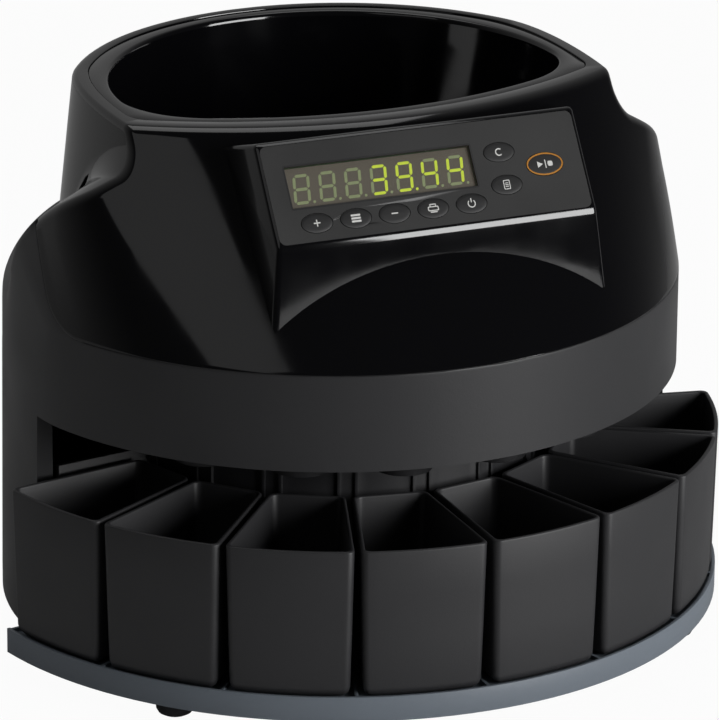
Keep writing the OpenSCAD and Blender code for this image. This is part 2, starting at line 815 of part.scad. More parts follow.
// ---------- sorting mechanism ----------

module mechanism_deck() {
    color("#565a5e") at_ring() difference() {
        translate([0, 0, deck_bottom]) linear_extrude(deck_t) housing_plan(housing_wall + clear);
        for (i = [1:cup_count]) rotate(cup_angle(i)) translate([0, -chute_ring_r, deck_bottom - 1])
            cylinder(r = chute_r + 0.05, h = deck_t + 2);
        translate([0, 0, deck_bottom - 1]) cylinder(r = bearing_r + 5, h = deck_t + 2);
        // slot for the belt side and the cables
        translate([60, 70, deck_bottom - 1]) cylinder(r = 12, h = deck_t + 2);
        for (p = deck_screw_places()) translate([p[0], p[1], deck_bottom - 1]) cylinder(r = 2.2, h = deck_t + 2);
    }
    color("#565a5e") at_ring() for (p = deck_screw_places()) translate([p[0], p[1], deck_z]) difference() {
        cylinder(r = 4.5, h = ring_plate_z - ring_plate_t - deck_z);
        translate([0, 0, -1]) cylinder(r = 2.2, h = 20);
    }
}

// Deck screws, which stand between the chutes and beside the first and the last.
function deck_screw_places() = [for (a = [-88, -2 * cup_pitch, 2 * cup_pitch, 88]) deck_screw_r * [sin(a), -cos(a)]];

// Eight tubes that lead each coin value down to its cup.
module coin_chutes() {
    color("#222222") at_ring() for (i = [1:cup_count]) rotate(cup_angle(i))
        translate([0, -chute_ring_r, 0]) difference() {
            union() {
                translate([0, 0, chute_z]) cylinder(r = chute_r, h = ring_plate_z - ring_plate_t - chute_z);
                translate([0, 0, deck_z]) cylinder(r = chute_r + 1.6, h = 1.6);
            }
            translate([0, 0, chute_z - 1]) cylinder(r = chute_r - chute_wall, h = 60);
        }
}

// Fixed track with one round hole for each coin value and the outer guide wall.
module sorting_ring() {
    track_r = disc_r + 0.6;
    low = ring_plate_z - ring_plate_t;
    color("#8b8f93") at_ring() difference() {
        union() {
            translate([0, 0, low]) linear_extrude(ring_plate_t) intersection() {
                circle(r = chute_ring_r + chute_r + track_border, $fn = 180);
                front_slice(97, big);
            }
            translate([0, 0, low]) linear_extrude(ring_plate_t + 6) intersection() {
                difference() {
                    circle(r = chute_ring_r + chute_r + track_border, $fn = 180);
                    circle(r = chute_ring_r + chute_r + track_border - 1.8, $fn = 180);
                }
                front_slice(97, big);
            }
        }
        translate([0, 0, low - 1]) cylinder(r = track_r, h = 20, $fn = 180);
        for (i = [1:cup_count]) rotate(cup_angle(i)) translate([0, -chute_ring_r + 2, low - 1])
            cylinder(r = (coin_hole_min + coin_hole_step * (i - 1)) / 2, h = 8);
        for (p = deck_screw_places()) translate([p[0], p[1], low - 1]) cylinder(r = 2.2, h = 12);
    }
}

// Arc board with one optical sensor beside each coin hole.
module sensor_board() {
    z = deck_z;
    color("#1f5b36") at_ring() {
        translate([0, 0, z]) linear_extrude(1.6) difference() {
            intersection() {
                circle(r = chute_ring_r - 16.5, $fn = 120);
                front_slice(80, big);
            }
            circle(r = chute_ring_r - 27, $fn = 120);
            for (p = deck_screw_places()) translate([p[0], p[1]]) circle(r = 5.2);
        }
        for (i = [1:cup_count]) rotate(cup_angle(i)) translate([-2.5, -chute_ring_r + 23, z + 1.6]) cube([5, 4, 1.2]);
    }
}

// Sorting disc with its grip pegs and the centre cone that spreads the coins.
module sorting_disc() {
    color("#6f7377") at_ring() difference() {
        union() {
            translate([0, 0, disc_z - disc_t]) cylinder(r = disc_r, h = disc_t, $fn = 180);
            translate([0, 0, disc_z - 1]) cylinder(r = 26, h = 1 + eps);
            translate([0, 0, disc_z]) cylinder(r1 = 26, r2 = spindle_r + 2, h = 12);
            for (k = [0:11]) rotate(k * 30) translate([0, disc_r * 0.6, disc_z - 1]) cylinder(r = 3.4, h = 3.2);
            for (k = [0:11]) rotate(k * 30 + 15) translate([0, disc_r * 0.4, disc_z - 1]) cylinder(r = 3.4, h = 3.2);
        }
        translate([0, 0, disc_z - disc_t - 1]) cylinder(r = spindle_r, h = disc_t + 9);
    }
}

module disc_spindle() {
    color("#b4b8bc") at_ring() difference() {
        union() {
            translate([0, 0, spindle_low()]) cylinder(r = spindle_r, h = disc_z + 8 - spindle_low());
            translate([0, 0, disc_z - disc_t - 2]) cylinder(r = spindle_r + 4, h = 2);
        }
        translate([0, 0, spindle_low() - 1]) cylinder(r = 1.6, h = 12);
    }
}

function spindle_low() = 92;
function pulley_z() = 98;
function belt_w() = 9;

module spindle_bearings() {
    color("#c8ccd0") at_ring() for (z = [deck_z - 6, deck_bottom - 16]) translate([0, 0, z]) {
        difference() {
            cylinder(r = bearing_r, h = bearing_t);
            translate([0, 0, -1]) cylinder(r = bearing_r - 2.4, h = bearing_t + 2);
        }
        difference() {
            cylinder(r = bearing_r - 2.8, h = bearing_t);
            translate([0, 0, -1]) cylinder(r = spindle_r + 0.05, h = bearing_t + 2);
        }
        translate([0, 0, 3]) difference() {
            cylinder(r = bearing_r - 2.3, h = 1);
            translate([0, 0, -1]) cylinder(r = bearing_r - 2.9, h = 3);
        }
    }
}

module bearing_housing() {
    top = deck_z + 3;
    low = deck_bottom - 18;
    color("#70757a") at_ring() difference() {
        union() {
            translate([0, 0, low]) cylinder(r = bearing_r + 3.5, h = top - low);
            translate([0, 0, deck_z]) cylinder(r = bearing_r + 13, h = 3);
        }
        translate([0, 0, low + 2]) cylinder(r = bearing_r, h = top - low);
        translate([0, 0, low - 1]) cylinder(r = bearing_r - 1.6, h = 8);
        for (a = [45:90:315]) rotate(a) translate([bearing_r + 9, 0, deck_z - 1]) cylinder(r = 1.6, h = 6);
    }
}

module large_pulley() {
    color("#3c3f42") at_ring() translate([0, 0, pulley_z()]) difference() {
        union() {
            cylinder(r = big_pulley_r, h = belt_w() + 1, $fn = 120);
            translate([0, 0, -1.5]) cylinder(r = big_pulley_r + 2, h = 1.5, $fn = 120);
            translate([0, 0, belt_w() + 1]) cylinder(r = big_pulley_r + 2, h = 1.5, $fn = 120);
        }
        translate([0, 0, -3]) cylinder(r = spindle_r, h = 20);
        for (a = [0:60:300]) rotate(a) translate([big_pulley_r * 0.6, 0, -3]) cylinder(r = 8, h = 20);
    }
}

module at_motor() {
    rotate(20) translate([0, motor_dist, 0]) children();
}

function motor_top() = pulley_z() - 9;

module drive_motor() {
    color("#9a9da0") at_ring() at_motor() {
        translate([0, 0, motor_top() - motor_h]) cylinder(r = motor_r, h = motor_h, $fn = 90);
        translate([0, 0, motor_top()]) cylinder(r = 8, h = 2);
        translate([0, 0, motor_top()]) cylinder(r = 3, h = 22);
        translate([0, 0, motor_top() - motor_h - 3]) cylinder(r = 10, h = 3);
    }
}

// Plate under the pulley that hangs from the deck and holds the motor.
module motor_bracket() {
    color("#a7abaf") at_ring() at_motor() {
        difference() {
            translate([-motor_r - 12, -motor_r - 2, motor_top()]) cube([2 * motor_r + 24, 2 * motor_r + 4, 2]);
            translate([0, 0, motor_top() - 1]) cylinder(r = 8.1, h = 4);
        }
        for (s = [-1, 1]) translate([s * (motor_r + 10.75) - 1.25, -12, motor_top() + 2])
            cube([2.5, 24, deck_bottom - motor_top() - 2]);
    }
}

module motor_pulley() {
    color("#3c3f42") at_ring() at_motor() translate([0, 0, pulley_z()]) difference() {
        union() {
            cylinder(r = small_pulley_r, h = belt_w() + 1, $fn = 60);
            translate([0, 0, -1.5]) cylinder(r = small_pulley_r + 1.6, h = 1.5, $fn = 60);
            translate([0, 0, belt_w() + 1]) cylinder(r = small_pulley_r + 1.6, h = 1.5, $fn = 60);
        }
        translate([0, 0, -3]) cylinder(r = 3.05, h = 20);
    }
}

// Flat belt round both pulleys.
module drive_belt() {
    d = motor_dist;
    lean = asin((big_pulley_r - small_pulley_r) / d);
    color("#151515") at_ring() rotate(20) translate([0, 0, pulley_z() + 0.5]) linear_extrude(belt_w())
        difference() {
            belt_plan(d, lean, clear + 1.6);
            belt_plan(d, lean, clear);
        }
}

// Outline of a belt that runs at a distance from both pulleys.
module belt_plan(d, lean, grow) {
    polygon(concat(
        arc_points(0, 0, big_pulley_r + grow, 180 - lean, 360 + lean, 60),
        arc_points(0, d, small_pulley_r + grow, lean, 180 - lean, 24)));
}

// ---------- electronics ----------

module main_board() {
    z = tray_top + 6;
    color("#1f5b36") at_ring() {
        difference() {
            translate([-75, -58, z]) cube([110, 72, 1.6]);
            for (p = main_post_places()) translate([p[0], p[1], z - 1]) cylinder(r = 1.6, h = 4);
        }
        for (p = main_post_places()) translate([p[0], p[1], tray_top]) cylinder(r = 3, h = z - tray_top);
        translate([-60, -45, z + 1.6]) cube([22, 22, 2]);
        translate([-20, -48, z + 1.6]) cube([30, 8, 9]);
        for (k = [0:2]) translate([-8 + 14 * k, -8, z + 1.6]) cylinder(r = 5, h = 12);
    }
}

function main_post_places() = [for (x = [-70, 30], y = [-53, 9]) [x, y]];

module power_supply() {
    color("#b9bdc0") at_ring() difference() {
        translate([22, 34, tray_top]) cube([64, 62, 34]);
        for (k = [0:5]) translate([28 + k * 9.5, 44, tray_top + 32.5]) cube([4, 42, 4]);
    }
}

// Flat panel in the rear recess with the power connections.
module rear_panel() {
    color(colour_matte) at_ring() difference() {
        translate([-panel_w / 2, panel_back_y, panel_low_z]) cube([panel_w, 2, panel_h]);
        translate([inlet_x() - 14, panel_back_y - 5, socket_z() - 10]) cube([28, 10, 20]);
        translate([switch_x() - 10.2, panel_back_y - 5, socket_z() - 7.2]) cube([20.4, 10, 14.4]);
        translate([port_x() - 8, panel_back_y - 5, socket_z() - 6.5]) cube([16, 10, 13]);
        for (s = [-1, 1]) translate([s * panel_screw_x, panel_back_y + 3, socket_z()])
            rotate([90, 0, 0]) cylinder(r = 1.5, h = 5);
    }
}

function socket_z() = panel_low_z + panel_h / 2;
function inlet_x() = 28;
function switch_x() = -4;
function port_x() = -31;

// Mains inlet with its three pins in a deep well.
module mains_inlet() {
    color("#111111") at_ring() translate([inlet_x(), panel_back_y, socket_z()]) {
        difference() {
            union() {
                translate([-13.8, -16, -9.8]) cube([27.6, 18, 19.6]);
                translate([-16, 2, -12]) cube([32, 1.6, 24]);
            }
            translate([-12, -13, -8]) cube([24, 30, 16]);
        }
        for (x = [-7, 0, 7]) translate([x - 1, -13.5, (x == 0 ? 1 : -2) - 2]) cube([2, 12, 4]);
    }
}

module switch_frame() {
    color("#151515") at_ring() translate([switch_x(), panel_back_y, socket_z()]) difference() {
        union() {
            translate([-10, -13, -7]) cube([20, 15, 14]);
            translate([-11.5, 2, -8.5]) cube([23, 1.6, 17]);
        }
        translate([-8.2, -8, -5.4]) cube([16.4, 20, 10.8]);
        translate([0, -1.5, -6.2]) cylinder(r = 1.05, h = 12.4);
    }
}

// Rocker that turns about a short upright pin in the switch frame.
module rocker_switch() {
    color("#b3261e") at_ring() translate([switch_x(), panel_back_y - 1.5, socket_z()]) {
        linear_extrude(10.2, center = true) polygon([[-7.1, 3], [-6.4, 6.2], [0, 4.4], [6.6, 4.2], [7.1, 1],
            [4, -3.6], [-4, -3.6]]);
        cylinder(r = 1, h = 12, center = true);
    }
}

module printer_socket() {
    color("#1c1c1c") at_ring() translate([port_x(), panel_back_y, socket_z()]) difference() {
        union() {
            translate([-7.8, -14, -6.3]) cube([15.6, 16, 12.6]);
            translate([-9.5, 2, -8]) cube([19, 1, 16]);
        }
        translate([-6, -10, -4]) cube([12, 20, 8]);
    }
}

// ---------- fasteners ----------

module screw(head_r, head_h, shank_r, len) {
    difference() {
        union() {
            cylinder(r = head_r, h = head_h);
            translate([0, 0, -len]) cylinder(r = shank_r, h = len + eps);
        }
        for (a = [0, 90]) rotate(a) translate([-head_r * 0.6, -0.5, head_h * 0.45]) cube([head_r * 1.2, 1, head_h]);
    }
}

module deck_screws() {
    color("#d0d3d6") at_ring() for (p = deck_screw_places())
        translate([p[0], p[1], ring_plate_z]) screw(3.6, 2, 1.9, ring_plate_z - deck_bottom + 2);
}

module base_screws() {
    color("#d0d3d6") at_ring() for (p = screw_places())
        translate([p[0], p[1], foot_h + 2.6]) mirror([0, 0, 1]) screw(3.2, 2, 1.3, tray_h + 6);
}

module panel_screws() {
    color("#d0d3d6") at_ring() for (s = [-1, 1])
        translate([s * panel_screw_x, panel_back_y + 2, socket_z()])
            rotate([-90, 0, 0]) screw(2.8, 1.6, 1.05, 5.5);
}

// ---------- nodes ----------

module dark_key(i) {
    color("#1b1b1c") key_piece(i);
}

base_tray();
rubber_feet();
main_housing();
cup_bay_wall();
top_cover();
hopper_bowl();
keypad_plate();
display_window();
display_module();
keypad_board();
dark_key(0);  // key_plus
dark_key(1);  // key_batch
dark_key(2);  // key_minus
dark_key(3);  // key_print
dark_key(4);  // key_set
dark_key(5);  // key_report
dark_key(6);  // key_clear
dark_key(7);  // key_start
coin_cup(1);  // coin_cup_1
coin_cup(2);  // coin_cup_2
coin_cup(3);  // coin_cup_3
coin_cup(4);  // coin_cup_4
coin_cup(5);  // coin_cup_5
coin_cup(6);  // coin_cup_6
coin_cup(7);  // coin_cup_7
coin_cup(8);  // coin_cup_8
mechanism_deck();
coin_chutes();
sorting_ring();
sensor_board();
sorting_disc();
disc_spindle();
spindle_bearings();
bearing_housing();
large_pulley();
drive_motor();
motor_bracket();
motor_pulley();
drive_belt();
main_board();
power_supply();
rear_panel();
mains_inlet();
switch_frame();
rocker_switch();
printer_socket();
deck_screws();
base_screws();
panel_screws();
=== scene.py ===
import json
from math import cos, pi, radians, sin, sqrt, tan

import bpy
import numpy as np
from mathutils import Matrix, Vector


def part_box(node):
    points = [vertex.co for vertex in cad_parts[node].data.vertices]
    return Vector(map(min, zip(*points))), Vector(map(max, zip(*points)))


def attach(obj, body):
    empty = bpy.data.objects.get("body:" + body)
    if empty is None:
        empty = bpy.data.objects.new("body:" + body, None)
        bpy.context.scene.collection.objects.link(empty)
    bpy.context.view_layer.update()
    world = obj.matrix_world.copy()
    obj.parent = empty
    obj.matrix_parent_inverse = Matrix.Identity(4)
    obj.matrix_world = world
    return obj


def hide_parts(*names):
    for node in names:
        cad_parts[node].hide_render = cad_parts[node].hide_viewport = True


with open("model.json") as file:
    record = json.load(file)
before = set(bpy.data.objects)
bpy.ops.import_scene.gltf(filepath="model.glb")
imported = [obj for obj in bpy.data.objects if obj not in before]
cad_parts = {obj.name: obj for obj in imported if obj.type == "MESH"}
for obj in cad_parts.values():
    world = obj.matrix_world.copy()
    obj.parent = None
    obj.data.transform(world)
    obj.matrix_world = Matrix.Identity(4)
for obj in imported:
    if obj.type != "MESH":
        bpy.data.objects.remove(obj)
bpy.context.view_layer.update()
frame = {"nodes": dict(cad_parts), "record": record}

MM = 0.001

# ---------- driving sizes, in millimetres about the upright axis of the cup ring ----------

RIM_Z = 254.7
SEAM_Z = 162.4
BAND_R, BAND_CY = 163.0, 8.5
BAND_Z = 117.0
REAR_R, REAR_CY = 159.6, -10.0
REAR_DRAFT, REAR_DRAFT_Z = 0.0095, 20.0
FRONT_R, FRONT_CY = 222.0, 147.0
SIDE_DRAFT = 0.163
NECK_R, NECK_CY, NECK_HALF_W, NECK_DRAFT = 127.6, -12.8, 122.4, 0.1
SHOULDER_Z, SHOULDER_SLOPE = 235.3, radians(28.8)
SHOULDER_X = NECK_HALF_W + NECK_DRAFT * (RIM_Z - SHOULDER_Z)
WING_END_Y, WING_R = 22.0, 76.0
SEAM_Y, SEAM_LEAN, SEAM_R = -41.0, radians(30.3), 32.0
DOME_Z, DOME_R = 150.5, 32.0
HOUSING_WALL = 2.6
COVER_WALL = 2.6
SKIRT_Z = 8.5
SIDE_FRONT_Y, SIDE_FLANGE_X = -26.0, 150.5
REAR_PANEL_W, REAR_PANEL_H, REAR_PANEL_Y, REAR_PANEL_Z = 104.0, 46.0, 136.6, 22.0
VENT_W, VENT_H, VENT_Z, VENT_PITCH, VENTS = 3.0, 24.0, 88.0, 8.0, 13
CLEAR = 0.3
RIM_W, RIM_FRONT_W = 7.0, 10.5
FLANGE_T = 2.2
FACE_Y, FACE_Z, FACE_TILT = -117.5, 215.3, radians(55)
FACE_W, FACE_LEN = 155.0, 49.2
FACE_SPREAD = 0.2
PLATE_T = 1.2
AXIS_Y = -30.0
MOUTH_R, OUTLET_R = 110.5, 86.0
CUP_PITCH, CUP_GAP, CUP_DRAFT, CUP_CORNER_R = 19.6, 2.8, 1.4, 3.5
CUP_OUT_R, CUP_IN_R = 179.6, 110.0
CUP_RIM_Z, CUP_FLOOR_Z = 88.5, 17.7
KEY_W, KEY_H, KEY_LOW = 14.9, 8.9, -6.9
WINDOW_X, WINDOW_UP, WINDOW_W, WINDOW_H = -21.5, 27.45, 89.6, 19.3
DIGIT_W, DIGIT_H, DIGIT_PITCH, DIGIT_LEAN, SEGMENT_W = 8.0, 13.8, 12.4, 0.14, 1.35
KEY_TOP, MODULE_OUT = -0.11, -1.95
WEDGE_BACK_Y, WEDGE_FALL = -56.0, 9.99
CHIN_Z, CHIN_LEAN = 156.0, 0.101
FAR_R = 330.0
SMOOTH_ANGLE = 35

disc_low, disc_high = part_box("sorting_disc")
RING_Y = (disc_low.y + disc_high.y) / 2 / MM
OUTLET_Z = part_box("hopper_bowl")[0].z / MM


def to_row(points):
    """Turns millimetres about the ring axis into metres in the machine's own frame."""
    return (np.asarray(points, float) + (0, RING_Y, 0)) * MM


# ---------- working in Blender ----------

def only(piece):
    bpy.ops.object.select_all(action="DESELECT")
    piece.select_set(True)
    bpy.context.view_layer.objects.active = piece


def edit(piece, mode="VERT"):
    only(piece)
    bpy.ops.object.mode_set(mode="EDIT")
    bpy.ops.mesh.select_mode(type=mode)


def leave():
    bpy.ops.object.mode_set(mode="OBJECT")


def finish_mesh(piece, angle=SMOOTH_ANGLE):
    """Merges doubles, turns the faces outwards and smooths the curved stretches."""
    edit(piece)
    bpy.ops.mesh.select_all(action="SELECT")
    bpy.ops.mesh.remove_doubles(threshold=0.002 * MM)
    bpy.ops.mesh.normals_make_consistent(inside=False)
    leave()
    bpy.ops.object.shade_smooth_by_angle(angle=radians(angle))


def apply_modifier(piece, kind, **settings):
    only(piece)
    made = piece.modifiers.new(kind.lower(), kind)
    for name, value in settings.items():
        setattr(made, name, value)
    bpy.ops.object.modifier_apply(modifier=made.name)


def combine(piece, tool, how="DIFFERENCE"):
    apply_modifier(piece, "BOOLEAN", operation=how, object=tool, solver="EXACT")
    bpy.data.objects.remove(tool)


def join(pieces, name):
    only(pieces[0])
    for piece in pieces:
        piece.select_set(True)
    bpy.ops.object.join()
    pieces[0].name = name
    return pieces[0]


def ring_sheet(name, rings, closed=False, caps=(False, False)):
    """A grid bent so that its rows become the given rings of points, each a closed loop.

    closed joins the last ring to the first; caps fills the first and the last ring."""
    rings = np.asarray(rings, float)
    rows, columns = rings.shape[:2]
    if closed:
        rings = np.concatenate([rings, rings[:1]])
        rows += 1
    wrapped = np.concatenate([rings, rings[:, :1]], axis=1)
    bpy.ops.object.select_all(action="DESELECT")
    bpy.ops.mesh.primitive_grid_add(x_subdivisions=columns, y_subdivisions=rows - 1)
    piece = bpy.context.object
    piece.name = name
    piece.data.name = name
    piece.data.vertices.foreach_set("co", to_row(wrapped.reshape(-1, 3)).ravel())
    piece.data.update()
    edit(piece)
    bpy.ops.mesh.select_all(action="SELECT")
    bpy.ops.mesh.remove_doubles(threshold=0.002 * MM)
    if any(caps):
        bpy.ops.mesh.select_all(action="DESELECT")
        bpy.ops.mesh.select_non_manifold(extend=False, use_wire=False, use_multi_face=False,
                                         use_non_contiguous=False, use_verts=False)
        bpy.ops.mesh.edge_face_add()
    leave()
    finish_mesh(piece)
    return piece


def block(name, low, high):
    """A box between two corners, in millimetres about the ring axis."""
    low, high = to_row([low])[0], to_row([high])[0]
    bpy.ops.object.select_all(action="DESELECT")
    bpy.ops.mesh.primitive_cube_add(size=1, location=(low + high) / 2, scale=high - low)
    piece = bpy.context.object
    bpy.ops.object.transform_apply(location=True, rotation=True, scale=True)
    piece.name = name
    return piece


def refined(node, bevel=0.0):
    """A merged copy of a CAD piece with small rounded edges, which takes that piece's place."""
    source = frame["nodes"][node]
    piece = source.copy()
    piece.data = source.data.copy()
    bpy.context.scene.collection.objects.link(piece)
    piece.parent = None
    for key in [k for k in piece.keys() if k.startswith("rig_")]:
        del piece[key]
    piece.name = node + "_finished"
    piece.hide_render = piece.hide_viewport = False
    edit(piece)
    bpy.ops.mesh.select_all(action="SELECT")
    bpy.ops.mesh.remove_doubles(threshold=0.004 * MM)
    bpy.ops.mesh.dissolve_limited(angle_limit=radians(0.5))
    leave()
    if bevel:
        apply_modifier(piece, "BEVEL", width=bevel * MM, segments=2, limit_method="ANGLE",
                       angle_limit=radians(32), use_clamp_overlap=True)
    only(piece)
    bpy.ops.object.shade_smooth_by_angle(angle=radians(SMOOTH_ANGLE))
    return piece


def body_of_node(node):
    return next(body for body, nodes in frame["record"]["behaviour"]["bodies"].items() if node in nodes)


def install(piece, material, node=None, body=None):
    """Gives a finished piece its material and its body, and hides the CAD piece it stands in for."""
    piece.data.materials.clear()
    piece.data.materials.append(material)
    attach(piece, body or body_of_node(node))
    if node:
        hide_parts(node)
    return piece


# ---------- materials ----------

def srgb(text):
    """A hex colour as the linear colour that a shader takes."""
    parts = [int(text[i:i + 2], 16) / 255 for i in (1, 3, 5)]
    return [c / 12.92 if c <= 0.04045 else ((c + 0.055) / 1.055) ** 2.4 for c in parts] + [1.0]


def add(tree, kind, links=None, **settings):
    """Adds one node with its settings; links names its inputs and gives each a value or an output."""
    made = tree.nodes.new(kind)
    for name, value in settings.items():
        setattr(made, name, value)
    for name, value in (links or {}).items():
        socket = made.inputs[name]
        if isinstance(value, bpy.types.NodeSocket):
            tree.links.new(value, socket)
        else:
            socket.default_value = value
    return made


def new_material(name):
    material = bpy.data.materials.new(name)
    material.use_nodes = True
    tree = material.node_tree
    shader = tree.nodes["Principled BSDF"]
    place = add(tree, "ShaderNodeTexCoord").outputs["Object"]
    return material, tree, shader, place


def per_metre(size_mm):
    """The scale of a pattern whose cells measure size_mm."""
    return 1000 / size_mm


def moulded_plastic(name, colour, roughness, grain_mm, depth_mm):
    """Injection-moulded plastic: even colour, and the spark-eroded grain of the mould in its skin."""
    material, tree, shader, place = new_material(name)
    grain = add(tree, "ShaderNodeTexNoise", {"Vector": place, "Scale": per_metre(grain_mm), "Detail": 3.0})
    cloud = add(tree, "ShaderNodeTexNoise", {"Vector": place, "Scale": per_metre(60), "Detail": 2.0})
    spread = 0.06
    polish = add(tree, "ShaderNodeMapRange", {"Value": cloud.outputs["Fac"], "From Min": 0.3, "From Max": 0.7,
                                              "To Min": roughness - spread, "To Max": roughness + spread})
    shade = add(tree, "ShaderNodeMixRGB", {"Fac": cloud.outputs["Fac"], "Color1": srgb(colour),
                                           "Color2": [c * (1 - 0.16) for c in srgb(colour)[:3]] + [1.0]})
    bump = add(tree, "ShaderNodeBump", {"Height": grain.outputs["Fac"], "Distance": depth_mm * MM,
                                        "Strength": 1.0})
    tree.links.new(shade.outputs["Color"], shader.inputs["Base Color"])
    tree.links.new(polish.outputs["Result"], shader.inputs["Roughness"])
    tree.links.new(bump.outputs["Normal"], shader.inputs["Normal"])
    shader.inputs["IOR"].default_value = 1.5
    return material


def polished_abs(name, colour):
    """High-gloss ABS: a deep even black whose reflections waver a little with the shrinkage."""
    material, tree, shader, place = new_material(name)
    haze = add(tree, "ShaderNodeTexNoise", {"Vector": place, "Scale": per_metre(35), "Detail": 4.0})
    polish = add(tree, "ShaderNodeMapRange", {"Value": haze.outputs["Fac"], "From Min": 0.35, "From Max": 0.7,
                                              "To Min": 0.05, "To Max": 0.11})
    wave = add(tree, "ShaderNodeTexNoise", {"Vector": place, "Scale": per_metre(45), "Detail": 1.0})
    bump = add(tree, "ShaderNodeBump", {"Height": wave.outputs["Fac"], "Distance": 0.02 * MM,
                                        "Strength": 0.5})
    tree.links.new(polish.outputs["Result"], shader.inputs["Roughness"])
    tree.links.new(bump.outputs["Normal"], shader.inputs["Normal"])
    shader.inputs["Base Color"].default_value = srgb(colour)
    shader.inputs["IOR"].default_value = 1.52
    return material


def plain_metal(name, colour, roughness):
    """Ground or plated steel with fine scatter in its gloss."""
    material, tree, shader, place = new_material(name)
    grain = add(tree, "ShaderNodeTexNoise", {"Vector": place, "Scale": per_metre(1.6), "Detail": 4.0})
    polish = add(tree, "ShaderNodeMapRange", {"Value": grain.outputs["Fac"], "From Min": 0.3, "From Max": 0.7,
                                              "To Min": roughness * 0.7, "To Max": roughness * 1.3})
    tree.links.new(polish.outputs["Result"], shader.inputs["Roughness"])
    shader.inputs["Base Color"].default_value = srgb(colour)
    shader.inputs["Metallic"].default_value = 1.0
    return material


def turned_metal(name, colour):
    """Turned aluminium: rings of tool marks about the axis, 0.8 mm apart so that they show."""
    material, tree, shader, place = new_material(name)
    axis = to_row([(0, 0, 0)])[0]
    centred = add(tree, "ShaderNodeMapping", {"Vector": place, "Location": (-axis[0], -axis[1], 0)})
    rings = add(tree, "ShaderNodeTexWave", {"Vector": centred.outputs["Vector"], "Scale": per_metre(0.8) / 20,
                                            "Distortion": 0.4, "Detail": 1.0},
                wave_type="RINGS", rings_direction="Z")
    polish = add(tree, "ShaderNodeMapRange", {"Value": rings.outputs["Fac"], "To Min": 0.24, "To Max": 0.4})
    bump = add(tree, "ShaderNodeBump", {"Height": rings.outputs["Fac"], "Distance": 0.01 * MM,
                                        "Strength": 0.6})
    tree.links.new(polish.outputs["Result"], shader.inputs["Roughness"])
    tree.links.new(bump.outputs["Normal"], shader.inputs["Normal"])
    shader.inputs["Base Color"].default_value = srgb(colour)
    shader.inputs["Metallic"].default_value = 1.0
    return material


def soft_rubber():
    """Moulded rubber: dull, with a faint bloom."""
    return moulded_plastic("moulded_rubber", "#17171a", 0.8, 0.8, 0.03)


def smoked_acrylic():
    """Smoked acrylic: a brown-grey clear sheet that lets the digits through and dulls what is unlit."""
    material, tree, shader, place = new_material("smoked_acrylic")
    haze = add(tree, "ShaderNodeTexNoise", {"Vector": place, "Scale": per_metre(20), "Detail": 3.0})
    polish = add(tree, "ShaderNodeMapRange", {"Value": haze.outputs["Fac"], "To Min": 0.04, "To Max": 0.1})
    tree.links.new(polish.outputs["Result"], shader.inputs["Roughness"])
    shader.inputs["Base Color"].default_value = srgb("#6d675a")
    shader.inputs["IOR"].default_value = 1.49
    shader.inputs["Alpha"].default_value = 0.1
    return material


def glowing(name, colour, strength):
    """A light-emitting segment behind its diffuser, with grain from the epoxy; the unlit segments take it at
    a low strength as a painted glow.
    """
    material, tree, shader, place = new_material(name)
    grain = add(tree, "ShaderNodeTexNoise", {"Vector": place, "Scale": per_metre(1.2), "Detail": 2.0})
    shade = add(tree, "ShaderNodeMixRGB", {"Fac": grain.outputs["Fac"], "Color1": srgb(colour),
                                           "Color2": [c * 0.8 for c in srgb(colour)[:3]] + [1.0]})
    tree.links.new(shade.outputs["Color"], shader.inputs["Base Color"])
    tree.links.new(shade.outputs["Color"], shader.inputs["Emission Color"])
    shader.inputs["Emission Strength"].default_value = strength
    shader.inputs["Roughness"].default_value = 0.4
    return material


# ---------- form of the cover and the housing ----------

def round_max(a, b, r):
    """Common part of two solids, given by their distances, with its edge rounded to radius r."""
    return np.minimum(-r, np.maximum(a, b)) + np.hypot(np.maximum(r + a, 0), np.maximum(r + b, 0))


def round_min(a, b, r):
    """Two solids together, with a hollow fillet of radius r where they meet."""
    return np.maximum(r, np.minimum(a, b)) - np.hypot(np.maximum(r - a, 0), np.maximum(r - b, 0))


def skirt(x, y, z):
    """Distance to the oblique cone of the front skirt."""
    rise = RIM_Z - SEAM_Z
    t = np.maximum((z - SEAM_Z) / rise, 0)
    centre = BAND_CY + (FRONT_CY - BAND_CY) * t
    radius = BAND_R + (FRONT_R - BAND_R) * t
    reach = np.hypot(x, y - centre)
    lean = np.where(z > SEAM_Z, ((y - centre) / reach * (FRONT_CY - BAND_CY) + FRONT_R - BAND_R) / rise, 0)
    return (reach - radius) / np.sqrt(1 + lean * lean)


def side_panel(x, y, z):
    """Distance to the cone of the side panels, which lean in towards the top."""
    lean = np.where(z > SEAM_Z, SIDE_DRAFT, 0)
    return (np.hypot(x, y - BAND_CY) - BAND_R + lean * (z - SEAM_Z)) / sqrt(1 + SIDE_DRAFT ** 2)


def neck(x, y, z):
    wider = NECK_DRAFT * (RIM_Z - z)
    rear = np.hypot(x, y - NECK_CY) - (NECK_R + wider)
    sides = np.abs(x) - (NECK_HALF_W + wider)
    return round_max(rear, sides, 14)


def above_shoulder(x, z):
    return (z - SHOULDER_Z + tan(SHOULDER_SLOPE) * (np.abs(x) - SHOULDER_X)) * cos(SHOULDER_SLOPE)


def wings(x, y, z):
    return round_max(above_shoulder(x, z), y - WING_END_Y, WING_R)


def cover_form(x, y, z):
    crease = np.clip((z - SEAM_Z) / 6, 0.02, 7)
    panels = round_max(skirt(x, y, z), side_panel(x, y, z), crease)
    top = round_min(neck(x, y, z), wings(x, y, z), 9)
    whole = round_max(panels, top, 3)
    return round_max(whole, z - RIM_Z, 3)


